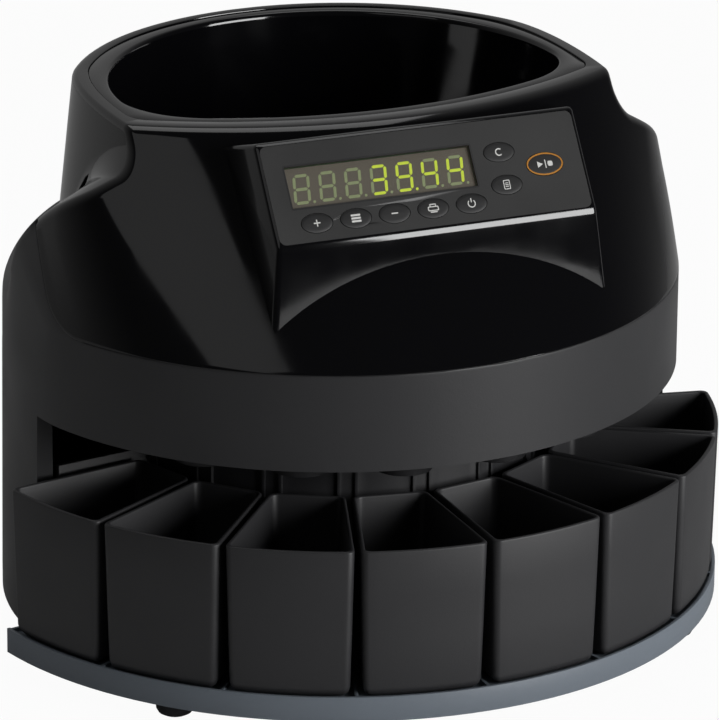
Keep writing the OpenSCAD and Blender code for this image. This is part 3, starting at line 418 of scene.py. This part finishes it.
def rear_wall(x, y, z):
    """Distance to the round rear wall, which leans in a little."""
    return np.hypot(x, y - REAR_CY) - REAR_R + REAR_DRAFT * np.maximum(z - REAR_DRAFT_Z, 0)


def plan_form(x, y, z):
    return round_max(np.hypot(x, y - BAND_CY) - BAND_R, rear_wall(x, y, z), 0.8)


def housing_form(x, y, z):
    dome = round_max(rear_wall(x, y, z) - 0.4, z - DOME_Z - DOME_R, DOME_R)
    cheek = round_max(wings(x, y, z), side_panel(x, y, z), 1)
    hollow = np.clip((z - SEAM_Z - 3) * 0.6, 0.3, 16)
    return round_max(round_min(dome, cheek, hollow), plan_form(x, y, z), 0.8)


def neck_gap(x, y, z):
    return neck(x, y, z) - 0.35


def seam_line(z):
    """How far back the cover reaches at a height: the leaning side seam with its rounded foot."""
    lean = tan(SEAM_LEAN)
    tangent = SEAM_R * tan((pi / 2 - SEAM_LEAN) / 2)
    foot_y = SEAM_Y - tangent
    foot_top = SEAM_Z + SEAM_R * (1 - sin(SEAM_LEAN))
    on_arc = foot_y + np.sqrt(np.maximum(SEAM_R ** 2 - (SEAM_Z + SEAM_R - z) ** 2, 0))
    return np.where(z < foot_top, on_arc, SEAM_Y + lean * (z - SEAM_Z))


def trace(form, angles, heights, steepness=None, inset=0.0):
    """Points where rays from the upright middle line leave a form, by halving the interval."""
    flat = np.zeros_like(heights) if steepness is None else steepness
    near_r, far_r = np.zeros_like(heights), np.full_like(heights, FAR_R)
    for _ in range(44):
        r = (near_r + far_r) / 2
        x = r * np.cos(flat) * np.cos(angles)
        y = AXIS_Y + r * np.cos(flat) * np.sin(angles)
        z = heights + r * np.sin(flat)
        inside = form(x, y, z) + inset < 0
        near_r = np.where(inside, r, near_r)
        far_r = np.where(inside, far_r, r)
    return np.stack([x, y, z], axis=-1)


def graded(*stretches):
    """Angles round the machine, closer together where the form turns sharply; both sides alike."""
    half = np.concatenate([np.arange(start, stop - step / 2, step) for start, stop, step in stretches])
    angles = np.concatenate([half, (180 - half)[::-1]])
    return np.radians(np.unique(np.round(np.mod(angles, 360), 6)))


def resample(points, stop, count):
    """From dense columns of points, count points per column, evenly spaced up to where stop turns true."""
    rows = points.shape[0]
    hit = np.argmax(stop, axis=0)
    hit = np.where(stop.any(axis=0), hit, rows - 1)
    steps = np.linalg.norm(np.diff(points, axis=0), axis=-1)
    length = np.concatenate([np.zeros((1, points.shape[1])), np.cumsum(steps, axis=0)])
    made = np.empty((count, points.shape[1], 3))
    for column in range(points.shape[1]):
        end = length[max(hit[column], 1), column]
        marks = np.linspace(0, end, count)
        for axis in range(3):
            made[:, column, axis] = np.interp(marks, length[:, column], points[:, column, axis])
    return made


def normals(form, points):
    """Outward directions on a form at the given points."""
    step = 0.02
    x, y, z = np.moveaxis(points, -1, 0)
    slope = np.stack([form(x + step, y, z) - form(x - step, y, z),
                      form(x, y + step, z) - form(x, y - step, z),
                      form(x, y, z + step) - form(x, y, z - step)], axis=-1)
    return slope / np.linalg.norm(slope, axis=-1, keepdims=True)


def turned_edge(points, before, form, r):
    """Rings that round the end of a wall: points is its last ring and before the one before that."""
    onward = points - before
    onward = onward / np.linalg.norm(onward, axis=-1, keepdims=True)
    inward = -normals(form, points)
    return [points + onward * r * sin(radians(a)) + inward * r * (1 - cos(radians(a)))
            for a in (30, 60, 90)]


def level_ring(form, angles, height):
    """The outline of a plan form at one height."""
    return trace(lambda x, y, z: form(x, y), angles, np.full(len(angles), float(height)))


def rim_plan(side, front):
    """Plan of the hopper rim, set in by side at the rear and the sides and by front along the front."""
    def form(x, y):
        rear = np.hypot(x, y - NECK_CY) - (NECK_R - side)
        sides = np.abs(x) - (NECK_HALF_W - side)
        ahead = np.hypot(x, y - FRONT_CY) - (FRONT_R - front)
        return round_max(round_max(rear, sides, 14), ahead, 6)
    return form


def offset(form, distance):
    return lambda x, y: form(x, y) - distance


def make_cover_shell():
    """Skirt, side panels, wings and hopper neck as one closed wall, up over the rim and back down."""
    angles = graded((-90, -50, 1.6), (-50, -30, 0.7), (-30, 11, 0.24), (11, 90.1, 2.4))
    heights = np.linspace(RIM_Z - 3, SEAM_Z + 0.3, 900)
    grid_a, grid_z = np.meshgrid(angles, heights)
    wall = trace(cover_form, grid_a, grid_z)
    x, y, z = np.moveaxis(wall, -1, 0)
    behind = y > seam_line(z) - 0.3
    stop = behind & ((neck(x, y, z) > 0.5) | (z < DOME_Z + DOME_R - 12))
    outer = resample(wall, stop, 96)
    inner = resample(wall, stop, 14)[1:]
    inner = inner - normals(cover_form, inner) * COVER_WALL
    foot = turned_edge(outer[-1], outer[-2], cover_form, 0.6)
    rim = [trace(cover_form, angles, np.full(len(angles), RIM_Z - 3 * (1 - sin(radians(a)))))
           for a in (88, 75, 60, 45, 30, 15)]
    seat = rim_plan(RIM_W, RIM_FRONT_W)
    seat_z = RIM_Z - FLANGE_T
    ledge = [level_ring(offset(seat, d), angles, z) for d, z in
             ((-3, seat_z - COVER_WALL), (-3, seat_z), (0, seat_z), (0, RIM_Z - 0.5), (0.15, RIM_Z - 0.15),
              (0.5, RIM_Z))]
    rings = list(inner[::-1]) + ledge + rim + list(outer) + foot
    return ring_sheet("cover_shell", rings, closed=True)


def on_face(across, up, out):
    """A point on the sloping panel: across it, up its slope and out from its face."""
    return (across, FACE_Y + up * cos(FACE_TILT) - out * sin(FACE_TILT),
            FACE_Z + up * sin(FACE_TILT) + out * cos(FACE_TILT))


def face_depth(y, z):
    return (y - FACE_Y) * sin(FACE_TILT) - (z - FACE_Z) * cos(FACE_TILT)


def make_wedge():
    """The block that carries the panel, with drafted sides and rounded edges."""
    top_back = (WEDGE_BACK_Y, FACE_Z + FACE_LEN * sin(FACE_TILT) - WEDGE_FALL)
    chin = (FACE_Y - CHIN_LEAN * (FACE_Z - CHIN_Z), CHIN_Z)
    profile = [(FACE_Y, FACE_Z), on_face(0, FACE_LEN, 0)[1:], top_back, chin]
    bpy.ops.object.select_all(action="DESELECT")
    bpy.ops.mesh.primitive_cube_add(size=1)
    wedge = bpy.context.object
    wedge.name = "panel_wedge"
    corners = {(-1, -1): 0, (-1, 1): 1, (1, 1): 2, (1, -1): 3}
    for vertex in wedge.data.vertices:
        side, depth, up = (1 if c > 0 else -1 for c in vertex.co)
        y, z = profile[corners[(depth, up)]]
        half = FACE_W / 2 + FACE_SPREAD * face_depth(y, z)
        vertex.co = to_row([(side * half, y, z)])[0]
    edit(wedge, "EDGE")
    bpy.ops.mesh.select_all(action="SELECT")
    bpy.ops.mesh.bevel(offset=2.2 * MM, segments=5, affect="EDGES")
    leave()
    finish_mesh(wedge)
    return wedge


def face_block(name, across, up, size, low, high, corner=0.0):
    """A block on the panel: its middle across and up the face, its size, and how far it reaches out."""
    bpy.ops.object.select_all(action="DESELECT")
    bpy.ops.mesh.primitive_cube_add(size=1)
    piece = bpy.context.object
    piece.name = name
    for vertex in piece.data.vertices:
        a, b, c = vertex.co
        vertex.co = to_row([on_face(across + a * size[0], up + b * size[1], low if c < 0 else high)])[0]
    if corner:
        outward = Vector((0, -sin(FACE_TILT), cos(FACE_TILT)))
        edit(piece, "EDGE")
        bpy.ops.mesh.select_all(action="DESELECT")
        leave()
        for edge in piece.data.edges:
            a, b = (piece.data.vertices[i].co for i in edge.vertices)
            edge.select = abs((a - b).normalized().dot(outward)) > 0.9
        edit(piece, "EDGE")
        bpy.ops.mesh.bevel(offset=corner * MM, segments=5, affect="EDGES")
        leave()
    return piece


def make_top_cover():
    cover = make_cover_shell()
    combine(cover, make_wedge(), "UNION")
    middle = FACE_LEN / 2
    combine(cover, face_block("room", 0, middle, (FACE_W - 9, FACE_LEN - 9), -14, 5, corner=2))
    combine(cover, face_block("seat", 0, middle, (FACE_W - 2.9, FACE_LEN - 2.9), -PLATE_T, 5, corner=3))
    cover.name = "cover_finished"
    finish_mesh(cover, angle=28)
    return cover


def wall_ring(angles, height, inset=0.0):
    """The outline of the housing at a height, set in by inset."""
    return trace(plan_form, angles, np.full(len(angles), float(height)), inset=inset)


def wall_block(name, low, high):
    """A block whose outer side follows the housing wall."""
    angles = graded((-90, 90.1, 1.5))
    piece = block(name, low, high)
    combine(piece, ring_sheet("trim", [wall_ring(angles, z, 0.05) for z in (low[2] - 1, high[2] + 1)],
                              caps=(True, True)), "INTERSECT")
    return piece


def add_rear(housing):
    """The framed recess for the rear panel, and the ventilation slots above it."""
    half, top = REAR_PANEL_W / 2, REAR_PANEL_Z + REAR_PANEL_H
    border = half + HOUSING_WALL
    combine(housing, wall_block("frame", (-border, REAR_PANEL_Y - 4.6, REAR_PANEL_Z - HOUSING_WALL),
                                (border, 200, top + HOUSING_WALL)), "UNION")
    combine(housing, block("seat", (-half - CLEAR, REAR_PANEL_Y, REAR_PANEL_Z - CLEAR),
                           (half + CLEAR, 200, top + CLEAR)))
    combine(housing, block("opening", (7 - half, REAR_PANEL_Y - 10, REAR_PANEL_Z + 3),
                           (half - 7, 200, top - 3)))
    places = [(slot - (VENTS - 1) / 2) * VENT_PITCH for slot in range(VENTS)]
    slots = [block("vent", (x - VENT_W / 2, 100, VENT_Z), (x + VENT_W / 2, 200, VENT_Z + VENT_H))
             for x in places]
    combine(housing, join(slots, "vents"))


def make_housing():
    """The matte housing: round band, side walls and rear dome, with the cup bay cut out of it."""
    angles = graded((-90, -30, 2.0), (-30, 14, 0.5), (14, 90.1, 2.0))
    upright = np.concatenate([[SKIRT_Z + 0.6], np.arange(20, 131, 10)])
    low = [wall_ring(angles, z) for z in upright]
    steep = np.radians(np.linspace(0, 75, 900))
    grid_a, grid_s = np.meshgrid(angles, steep)
    wall = trace(housing_form, grid_a, np.full_like(grid_a, 130.0), grid_s)
    x, y, z = np.moveaxis(wall, -1, 0)
    stop = ((y < seam_line(z) + 0.3) & (z > SEAM_Z - 0.9)) | (neck_gap(x, y, z) < 0)
    upper = resample(wall, stop, 46)[1:]
    outer = low + list(upper)
    inner = resample(wall, stop, 12)[1:]
    inner = inner - normals(housing_form, inner) * HOUSING_WALL
    inner_low = [wall_ring(angles, z, HOUSING_WALL) for z in (SKIRT_Z, 60, 130)]
    lip = turned_edge(outer[-1], outer[-2], housing_form, 0.6)
    foot = turned_edge(outer[0], outer[1], housing_form, 0.6)
    rings = foot[::-1] + outer + lip + list(inner[::-1]) + inner_low[::-1]
    housing = ring_sheet("housing_finished", rings, closed=True)
    for side in (-1, 1):
        ends = sorted((side * SIDE_FLANGE_X, side * 180))
        combine(housing, wall_block("flange", (ends[0], SIDE_FRONT_Y - 4, SKIRT_Z + 0.05),
                                    (ends[1], SIDE_FRONT_Y + HOUSING_WALL, BAND_Z + 3)), "UNION")
    combine(housing, block("bay", (-200, -200, 0), (200, SIDE_FRONT_Y, BAND_Z)))
    add_rear(housing)
    finish_mesh(housing)
    return housing


def traced_outline(form, centre, count, reach=400.0):
    """A closed outline of a plan form, with count points that crowd where it turns."""
    angles = np.linspace(0, 2 * pi, 1440, endpoint=False)
    near_r, far_r = np.zeros(len(angles)), np.full(len(angles), reach)
    for _ in range(40):
        r = (near_r + far_r) / 2
        x, y = centre[0] + r * np.cos(angles), centre[1] + r * np.sin(angles)
        inside = form(x, y) < 0
        near_r, far_r = np.where(inside, r, near_r), np.where(inside, far_r, r)
    points = np.stack([x, y], axis=-1)
    along = np.roll(points, -1, axis=0) - points
    length = np.linalg.norm(along, axis=1)
    heading = np.unwrap(np.arctan2(along[:, 1], along[:, 0]))
    turning = np.abs(np.diff(np.append(heading, heading[0] + 2 * pi)))
    weight = np.concatenate([[0], np.cumsum(length / length.sum() + 1.6 * turning / turning.sum())])
    marks = np.linspace(0, weight[-1], count, endpoint=False)
    closed = np.concatenate([points, points[:1]])
    return np.stack([np.interp(marks, weight, closed[:, axis]) for axis in (0, 1)], axis=-1)


def raised(outline, height):
    """An outline in plan as a ring at a height."""
    return np.column_stack([outline, np.full(len(outline), height)])


def mouth_form(x, y):
    """Plan of the bowl's mouth: round, a little flatter behind and with a shallow front."""
    rear = np.hypot(x, y - NECK_CY) - (NECK_R - 12)
    middle = np.hypot(x, y) - MOUTH_R
    ahead = np.hypot(x, y - FRONT_CY) - (FRONT_R - RIM_FRONT_W - 8)
    return round_max(round_max(middle, rear, 20), ahead, 20)


def make_hopper_bowl():
    """The insert: a flange that lies in the rim, and a smooth bowl that narrows to the round outlet."""
    angles = graded((-90, -40, 1.5), (-40, 20, 1.0), (20, 90.1, 1.5))
    seat = rim_plan(RIM_W + 0.3, RIM_FRONT_W + 0.3)
    top, brim_r = RIM_Z - 0.4, 2.5

    def outlet(x, y):
        return np.hypot(x, y) - OUTLET_R

    def between(upper, lower, shares):
        return [upper * (1 - share) + lower * share for share in shares]

    flange = [level_ring(seat, angles, RIM_Z - FLANGE_T), level_ring(seat, angles, top - 0.4),
              level_ring(offset(seat, -0.12), angles, top - 0.12),
              level_ring(offset(seat, -0.4), angles, top)]
    brim = [level_ring(offset(mouth_form, brim_r * (1 - sin(t))), angles, top - brim_r * (1 - cos(t)))
            for t in map(radians, (0, 18, 36, 54, 72))]
    wall = between(level_ring(mouth_form, angles, top - brim_r), level_ring(outlet, angles, OUTLET_Z),
                   np.linspace(0, 1, 14))
    collar = [level_ring(offset(outlet, 2.2), angles, z) for z in (OUTLET_Z, OUTLET_Z + 4)]
    under_mouth = level_ring(offset(mouth_form, 1.6), angles, RIM_Z - FLANGE_T)
    outside = between(under_mouth, collar[-1], (0.75, 0.5, 0.25, 0))
    return ring_sheet("bowl_finished", flange + brim + wall + collar + outside, closed=True)


# ---------- cups, tray and feet ----------

def about_axis(angle):
    """A turn by an angle in degrees about the upright axis of the cup ring."""
    axis = Matrix.Translation((0, RING_Y * MM, 0))
    return axis @ Matrix.Rotation(radians(angle), 4, "Z") @ axis.inverted()


def cup_form(inset):
    """Plan of a cup that opens towards -Y: two side walls, a flat back and a round front."""
    half = radians(CUP_PITCH / 2)
    corner = CUP_CORNER_R - inset * 0.3

    def form(x, y):
        sides = np.abs(x) * cos(half) + y * sin(half) + CUP_GAP / 2 + inset
        front = np.hypot(x, y) - (CUP_OUT_R - inset)
        back = y + CUP_IN_R * cos(half) + inset
        return round_max(round_max(sides, front, corner), back, corner)
    return form


def make_cup(number):
    """One coin cup: drafted walls, a rolled rim and a rounded floor."""
    def ring(inset, z):
        return raised(traced_outline(cup_form(inset), (0, -146), 88, 90), z)

    deep = CUP_RIM_Z - CUP_FLOOR_Z
    rim_r, floor_r, wall = 0.9, 5.0, 2.0
    inside = [ring(wall + CUP_DRAFT + 3 * (1 - sin(t)), CUP_FLOOR_Z + wall + 3 * (1 - cos(t)))
              for t in map(radians, (0, 30, 60, 90))]
    walls_in = [ring(wall + CUP_DRAFT * share, CUP_RIM_Z - deep * share) for share in (0.6, 0.3)]
    rim = [ring(rim_r + (wall - 2 * rim_r) * (a < 90) + rim_r * cos(radians(a)),
                CUP_RIM_Z - rim_r + rim_r * sin(radians(a))) for a in (0, 30, 60, 90, 120, 150, 180)]
    walls_out = [ring(CUP_DRAFT * share, CUP_RIM_Z - deep * share) for share in (0.3, 0.6)]
    outside = [ring(CUP_DRAFT + floor_r * (1 - sin(t)), CUP_FLOOR_Z + floor_r * (1 - cos(t)))
               for t in map(radians, (90, 60, 30, 0))]
    rings = inside + walls_in + rim + walls_out + outside
    cup = ring_sheet(f"cup_{number}_finished", rings, caps=(True, True))
    cup.data.transform(about_axis((number - 4.5) * CUP_PITCH))
    return cup


# ---------- keypad ----------

KEYS = {"key_plus": (-56.7, 10.0, 1.0), "key_batch": (-37.98, 10.0, 1.0), "key_minus": (-19.26, 10.0, 1.0),
        "key_print": (-0.54, 10.0, 1.0), "key_set": (18.18, 10.0, 1.0), "key_report": (37.1, 16.6, 1.0),
        "key_clear": (36.9, 32.1, 1.0), "key_start": (57.6, 24.0, 1.2)}


def face_ring(across, up, width, height, out):
    """An elliptical ring on the panel."""
    return [on_face(across + width / 2 * cos(t), up + height / 2 * sin(t), out)
            for t in np.linspace(0, 2 * pi, 64, endpoint=False)]


def make_key(name):
    """An elliptical key cap, slightly domed, with its flange and its stem below the panel."""
    across, up, size = KEYS[name]
    width, height = KEY_W * size, KEY_H * size

    def ring(grow, out):
        return face_ring(across, up, width + 2 * grow, height + 2 * grow, out)

    stem = [face_ring(across, up, 4, 4, z) for z in (KEY_LOW, -4.6)]
    flange = [ring(0.6, -4.6), ring(0.6, -3.4)]
    cap = [ring(0, -3.4), ring(0, -0.3), ring(-0.06, -0.24), ring(-0.2, -0.2), ring(-1.6, -0.16),
           ring(-3.0, -0.13), ring(-4.0, KEY_TOP)]
    return ring_sheet(name + "_finished", stem + flange + cap, caps=(True, True))


def slab(name, outline, low, high):
    """A thin plate on the panel; its outline is a list of places across and up the face."""
    rings = [[on_face(a, b, out) for a, b in outline] for out in (low, high)]
    return ring_sheet(name, rings, caps=(True, True))


def frame_slab(name, outer, inner, low, high):
    """A thin closed frame on the panel between two outlines of as many points each."""
    return ring_sheet(name, [[on_face(a, b, out) for a, b in outline]
                             for outline, out in ((inner, low), (inner, high), (outer, high), (outer, low))],
                      closed=True)


def rounded(width, height, corner, count=6):
    """A rectangle about the origin with round corners."""
    points = []
    for turn, (sx, sy) in enumerate(((1, 1), (-1, 1), (-1, -1), (1, -1))):
        for t in np.linspace(0, pi / 2, count):
            points.append((sx * (width / 2 - corner) + corner * cos(t + turn * pi / 2),
                           sy * (height / 2 - corner) + corner * sin(t + turn * pi / 2)))
    return points


def moved(outline, across, up):
    return [(across + a, up + b) for a, b in outline]


def bar(width, height, across=0.0, up=0.0):
    """A filled bar of a sign."""
    return "bar", moved(rounded(width, height, min(width, height) * 0.3, 3), across, up)


def arc_band(radius, width, start, stop):
    """A filled stroke along part of a circle."""
    turn = np.radians(np.linspace(start, stop, 28))
    outer = [((radius + width / 2) * cos(t), (radius + width / 2) * sin(t)) for t in turn]
    inner = [((radius - width / 2) * cos(t), (radius - width / 2) * sin(t)) for t in turn[::-1]]
    return "bar", outer + inner


def box_line(width, height, line, across=0.0, up=0.0):
    """A rectangle drawn as a line."""
    return "line", (moved(rounded(width, height, line, 3), across, up),
                    moved(rounded(width - 2 * line, height - 2 * line, line * 0.4, 3), across, up))


SIGNS = {
    "key_plus": [bar(3.2, 0.55), bar(0.55, 3.2)],
    "key_minus": [bar(3.2, 0.6)],
    "key_clear": [arc_band(1.55, 0.55, 48, 312)],
    "key_batch": [bar(4.6, 0.9, 0, -1.4), bar(4.6, 0.9, 0, 0), bar(4.6, 0.9, 0, 1.4)],
    "key_print": [box_line(5.2, 2.2, 0.45, 0, -0.1), bar(3.0, 0.45, 0, 1.9), bar(0.45, 1.2, -1.35, 1.5),
                  bar(0.45, 1.2, 1.35, 1.5), bar(3.4, 0.5, 0, -1.7)],
    "key_set": [arc_band(1.7, 0.5, 130, 410), bar(0.55, 2.0, 0, 1.5)],
    "key_report": [box_line(3.2, 4.4, 0.4), bar(1.6, 0.35, 0, 0.8), bar(1.6, 0.35, 0, 0),
                   bar(1.6, 0.35, 0, -0.8)],
    "key_start": [("bar", [(-3.6, -1.5), (-1.0, 0.0), (-3.6, 1.5)]), bar(0.45, 4.0, 0.3, 0),
                  bar(2.4, 2.4, 2.6, 0)]}


def make_sign(key):
    """The white printed sign on a key."""
    across, up, _ = KEYS[key]
    low, high = KEY_TOP - 0.02, KEY_TOP + 0.03
    strokes = []
    for kind, outline in SIGNS[key]:
        if kind == "line":
            outer, inner = (moved(edge, across, up) for edge in outline)
            strokes.append(frame_slab("stroke", outer, inner, low, high))
        else:
            strokes.append(slab("stroke", moved(outline, across, up), low, high))
    return join(strokes, key + "_sign")


def ellipse(width, height, count=72):
    turn = np.linspace(0, 2 * pi, count, endpoint=False)
    return [(width / 2 * cos(t), height / 2 * sin(t)) for t in turn]


def make_start_ring():
    """The orange line printed round the start key."""
    across, up, size = KEYS["key_start"]
    outer, inner = (ellipse(KEY_W * size - 2 * d, KEY_H * size - 2 * d) for d in (0.05, 0.75))
    return frame_slab("start_ring", moved(outer, across, up), moved(inner, across, up),
                      KEY_TOP - 0.12, KEY_TOP + 0.02)


def make_window_border():
    """The dark line printed round the display window."""
    outer = moved(rounded(WINDOW_W + 1.6, WINDOW_H + 1.6, 0.9), WINDOW_X, WINDOW_UP)
    inner = moved(rounded(WINDOW_W, WINDOW_H, 0.3), WINDOW_X, WINDOW_UP)
    return frame_slab("window_border", outer, inner, -0.35, -0.27)


def digit_outlines(place):
    """The seven segments of a digit and its point, in the order a to g, leaning to the right."""
    w, h, t = DIGIT_W - SEGMENT_W, DIGIT_H - SEGMENT_W, SEGMENT_W
    left = WINDOW_X - WINDOW_W / 2 + 1.9 + place * DIGIT_PITCH + t / 2
    low = WINDOW_UP - WINDOW_H / 2 + 2.0 + t / 2

    def leaning(points):
        return [(left + a + DIGIT_LEAN * b, low + b) for a, b in points]

    def level(b):
        return leaning([(0.3, b), (0.3 + t / 2, b - t / 2), (w - 0.3 - t / 2, b - t / 2), (w - 0.3, b),
                        (w - 0.3 - t / 2, b + t / 2), (0.3 + t / 2, b + t / 2)])

    def upright(a, b):
        return leaning([(a, b + 0.3), (a + t / 2, b + 0.3 + t / 2), (a + t / 2, b + h / 2 - 0.3 - t / 2),
                        (a, b + h / 2 - 0.3), (a - t / 2, b + h / 2 - 0.3 - t / 2),
                        (a - t / 2, b + 0.3 + t / 2)])

    point = leaning(moved(ellipse(1.3, 1.3, 16), w + 2.3, -0.1))
    return dict(zip("abcdefg.", [level(h), upright(w, h / 2), upright(w, 0), level(0), upright(0, 0),
                                 upright(0, h / 2), level(h / 2), point]))


def make_digits():
    """The segments of the display, the lit ones and the others apart."""
    shown = ["", "", "", "abcdg", "abcdfg.", "bcfg", "bcfg"]
    lit, unlit = [], []
    for place, segments in enumerate(shown):
        for segment, outline in digit_outlines(place).items():
            group = lit if segment in segments else unlit
            group.append(slab("segment", outline, MODULE_OUT - 0.1, MODULE_OUT + 0.05))
    return join(lit, "segments_lit"), join(unlit, "segments_unlit")


# ---------- putting it together ----------

housing_plastic = moulded_plastic("textured_abs", "#262628", 0.46, 0.9, 0.03)
cup_plastic = moulded_plastic("textured_polypropylene", "#29292b", 0.5, 0.8, 0.03)
tray_plastic = moulded_plastic("satin_grey_abs", "#6f7780", 0.42, 0.8, 0.02)
gloss = polished_abs("polished_abs", "#08080a")
film = moulded_plastic("polyester_film", "#2e2e2e", 0.42, 0.5, 0.01)
key_film = moulded_plastic("key_silicone", "#131314", 0.5, 0.6, 0.01)
white_ink = moulded_plastic("white_ink", "#d9d9d6", 0.5, 0.4, 0.005)
orange_ink = moulded_plastic("orange_ink", "#b8791c", 0.5, 0.4, 0.005)
display_face = moulded_plastic("display_filter", "#5f594f", 0.6, 0.9, 0.03)
steel = plain_metal("zinc_plated_steel", "#b9bcc0", 0.35)
disc_metal = turned_metal("turned_aluminium", "#b4b5b8")
board_green = moulded_plastic("solder_mask", "#1d5a37", 0.3, 1.0, 0.01)
black_plastic = moulded_plastic("moulded_nylon", "#161618", 0.45, 0.8, 0.02)
deck_plastic = moulded_plastic("moulded_polystyrene", "#55585d", 0.5, 0.9, 0.03)
rubber = soft_rubber()
rocker_red = polished_abs("translucent_red_abs", "#8f1a14")

install(make_top_cover(), gloss, "top_cover")
install(make_housing(), housing_plastic, "main_housing")
install(make_hopper_bowl(), gloss, "hopper_bowl")
for number in range(1, 9):
    install(make_cup(number), cup_plastic, f"coin_cup_{number}")
for key in KEYS:
    install(make_key(key), key_film, key)
    install(make_sign(key), white_ink, body=body_of_node(key))
display = face_block("display_finished", WINDOW_X, WINDOW_UP, (WINDOW_W - 1, WINDOW_H - 1), -8.0, MODULE_OUT,
                     corner=0.4)
install(display, display_face, "display_module")
lit, unlit = make_digits()
install(lit, glowing("segment_lit", "#c3d63c", 0.5), body=body_of_node("display_module"))
# painted glow: the unlit segments get a faint emission of their own, a painted sheen where no light is given
# off
install(unlit, glowing("segment_unlit_painted_glow", "#97a578", 0.08), body=body_of_node("display_module"))
install(make_start_ring(), orange_ink, body=body_of_node("key_start"))
install(make_window_border(), key_film, body=body_of_node("keypad_plate"))

FINISHES = {
    "base_tray": (tray_plastic, 0.5), "rubber_feet": (rubber, 0.0), "cup_bay_wall": (housing_plastic, 0.4),
    "keypad_plate": (film, 0.0), "display_window": (smoked_acrylic(), 0.0),
    "keypad_board": (board_green, 0.0), "mechanism_deck": (deck_plastic, 0.0),
    "coin_chutes": (black_plastic, 0.3),
    "sorting_ring": (steel, 0.3), "sensor_board": (board_green, 0.0), "sorting_disc": (disc_metal, 0.3),
    "disc_spindle": (steel, 0.0), "spindle_bearings": (steel, 0.0), "bearing_housing": (steel, 0.0),
    "large_pulley": (black_plastic, 0.3), "drive_motor": (steel, 0.6), "motor_bracket": (steel, 0.0),
    "motor_pulley": (black_plastic, 0.0), "drive_belt": (rubber, 0.0), "main_board": (board_green, 0.0),
    "power_supply": (steel, 0.3), "rear_panel": (housing_plastic, 0.3), "mains_inlet": (black_plastic, 0.3),
    "switch_frame": (black_plastic, 0.3), "rocker_switch": (rocker_red, 0.3),
    "printer_socket": (black_plastic, 0.3),
    "deck_screws": (steel, 0.0), "base_screws": (steel, 0.0), "panel_screws": (steel, 0.0)}
for node, (material, bevel) in FINISHES.items():
    install(refined(node, bevel=bevel), material, node)


# ---------- stage, light and camera ----------

def make_stage():
    """A white table; straight to the camera it keeps most of its white even in the shade."""
    bpy.ops.object.select_all(action="DESELECT")
    bpy.ops.mesh.primitive_circle_add(vertices=96, radius=1.5, fill_type="NGON", location=(0, 0, 0))
    floor = bpy.context.object
    floor.name = "floor"
    material, tree, shader, _ = new_material("white_table")
    shader.inputs["Base Color"].default_value = srgb("#d4d4d4")
    shader.inputs["Roughness"].default_value = 0.7
    white = add(tree, "ShaderNodeEmission", {"Color": srgb("#ffffff"), "Strength": 1.0})
    path = add(tree, "ShaderNodeLightPath")
    part = add(tree, "ShaderNodeMath", {0: path.outputs["Is Camera Ray"], 1: 0.96}, operation="MULTIPLY")
    shown = add(tree, "ShaderNodeMixShader", {"Fac": part.outputs["Value"], 1: shader.outputs["BSDF"],
                                              2: white.outputs["Emission"]})
    tree.links.new(shown.outputs["Shader"], tree.nodes["Material Output"].inputs["Surface"])
    floor.data.materials.append(material)


def soft_light(name, place, target, size, power):
    data = bpy.data.lights.new(name, "AREA")
    data.shape = "RECTANGLE"
    data.size, data.size_y = size
    data.energy = power
    lamp = bpy.data.objects.new(name, data)
    lamp.location = place
    lamp.rotation_euler = (Vector(target) - Vector(place)).to_track_quat("-Z", "Y").to_euler()
    bpy.context.scene.collection.objects.link(lamp)
    return lamp


def make_world():
    """A grey sweep behind the machine and a dark studio in front; white straight to the camera."""
    rear, front = 0.3, 0.03
    world = bpy.data.worlds.new("studio")
    bpy.context.scene.world = world
    world.use_nodes = True
    tree = world.node_tree
    direction = add(tree, "ShaderNodeTexCoord").outputs["Generated"]
    parts = add(tree, "ShaderNodeSeparateXYZ", {"Vector": direction})
    sweep = add(tree, "ShaderNodeMapRange", {"Value": parts.outputs["Y"], "From Min": -0.2, "From Max": 0.9,
                                             "To Min": front, "To Max": rear},
                interpolation_type="SMOOTHSTEP")
    path = add(tree, "ShaderNodeLightPath")
    level = add(tree, "ShaderNodeMix", {0: path.outputs["Is Camera Ray"], 2: sweep.outputs["Result"], 3: 1.0},
                data_type="FLOAT")
    background = tree.nodes["Background"]
    background.inputs["Color"].default_value = (1, 1, 1, 1)
    tree.links.new(level.outputs[0], background.inputs["Strength"])


FOCAL_PX, IMAGE_W = 6135.87, 719


def make_camera():
    """A long lens from the left of the front, a little above the rim."""
    data = bpy.data.cameras.new("camera")
    data.sensor_width = 36.0
    data.lens = FOCAL_PX * data.sensor_width / IMAGE_W
    data.clip_end = 20
    camera = bpy.data.objects.new("camera", data)
    right = Vector((0.91935, -0.39335, 0.00859))
    up = Vector((0.12561, 0.31414, 0.94103))
    back = -Vector((0.37285, 0.86406, -0.33821))
    turn = Matrix((right, up, back)).transposed()
    place = Vector(to_row([(-1059.916, -2485.217, 1085.356)])[0])
    camera.matrix_world = Matrix.Translation(place) @ turn.to_4x4()
    bpy.context.scene.collection.objects.link(camera)
    bpy.context.scene.camera = camera


make_stage()
make_world()
make_camera()
middle = (0, 0, 0.12)
soft_light("key", (1.15, -1.8, 0.62), middle, (1.2, 0.9), 42)
soft_light("left_panel", (-1.35, -0.85, 1.55), middle, (1.1, 1.0), 1.5)
soft_light("top", (0.1, 0.6, 2.2), middle, (1.6, 1.2), 9)
bpy.context.scene.view_settings.view_transform = "Standard"
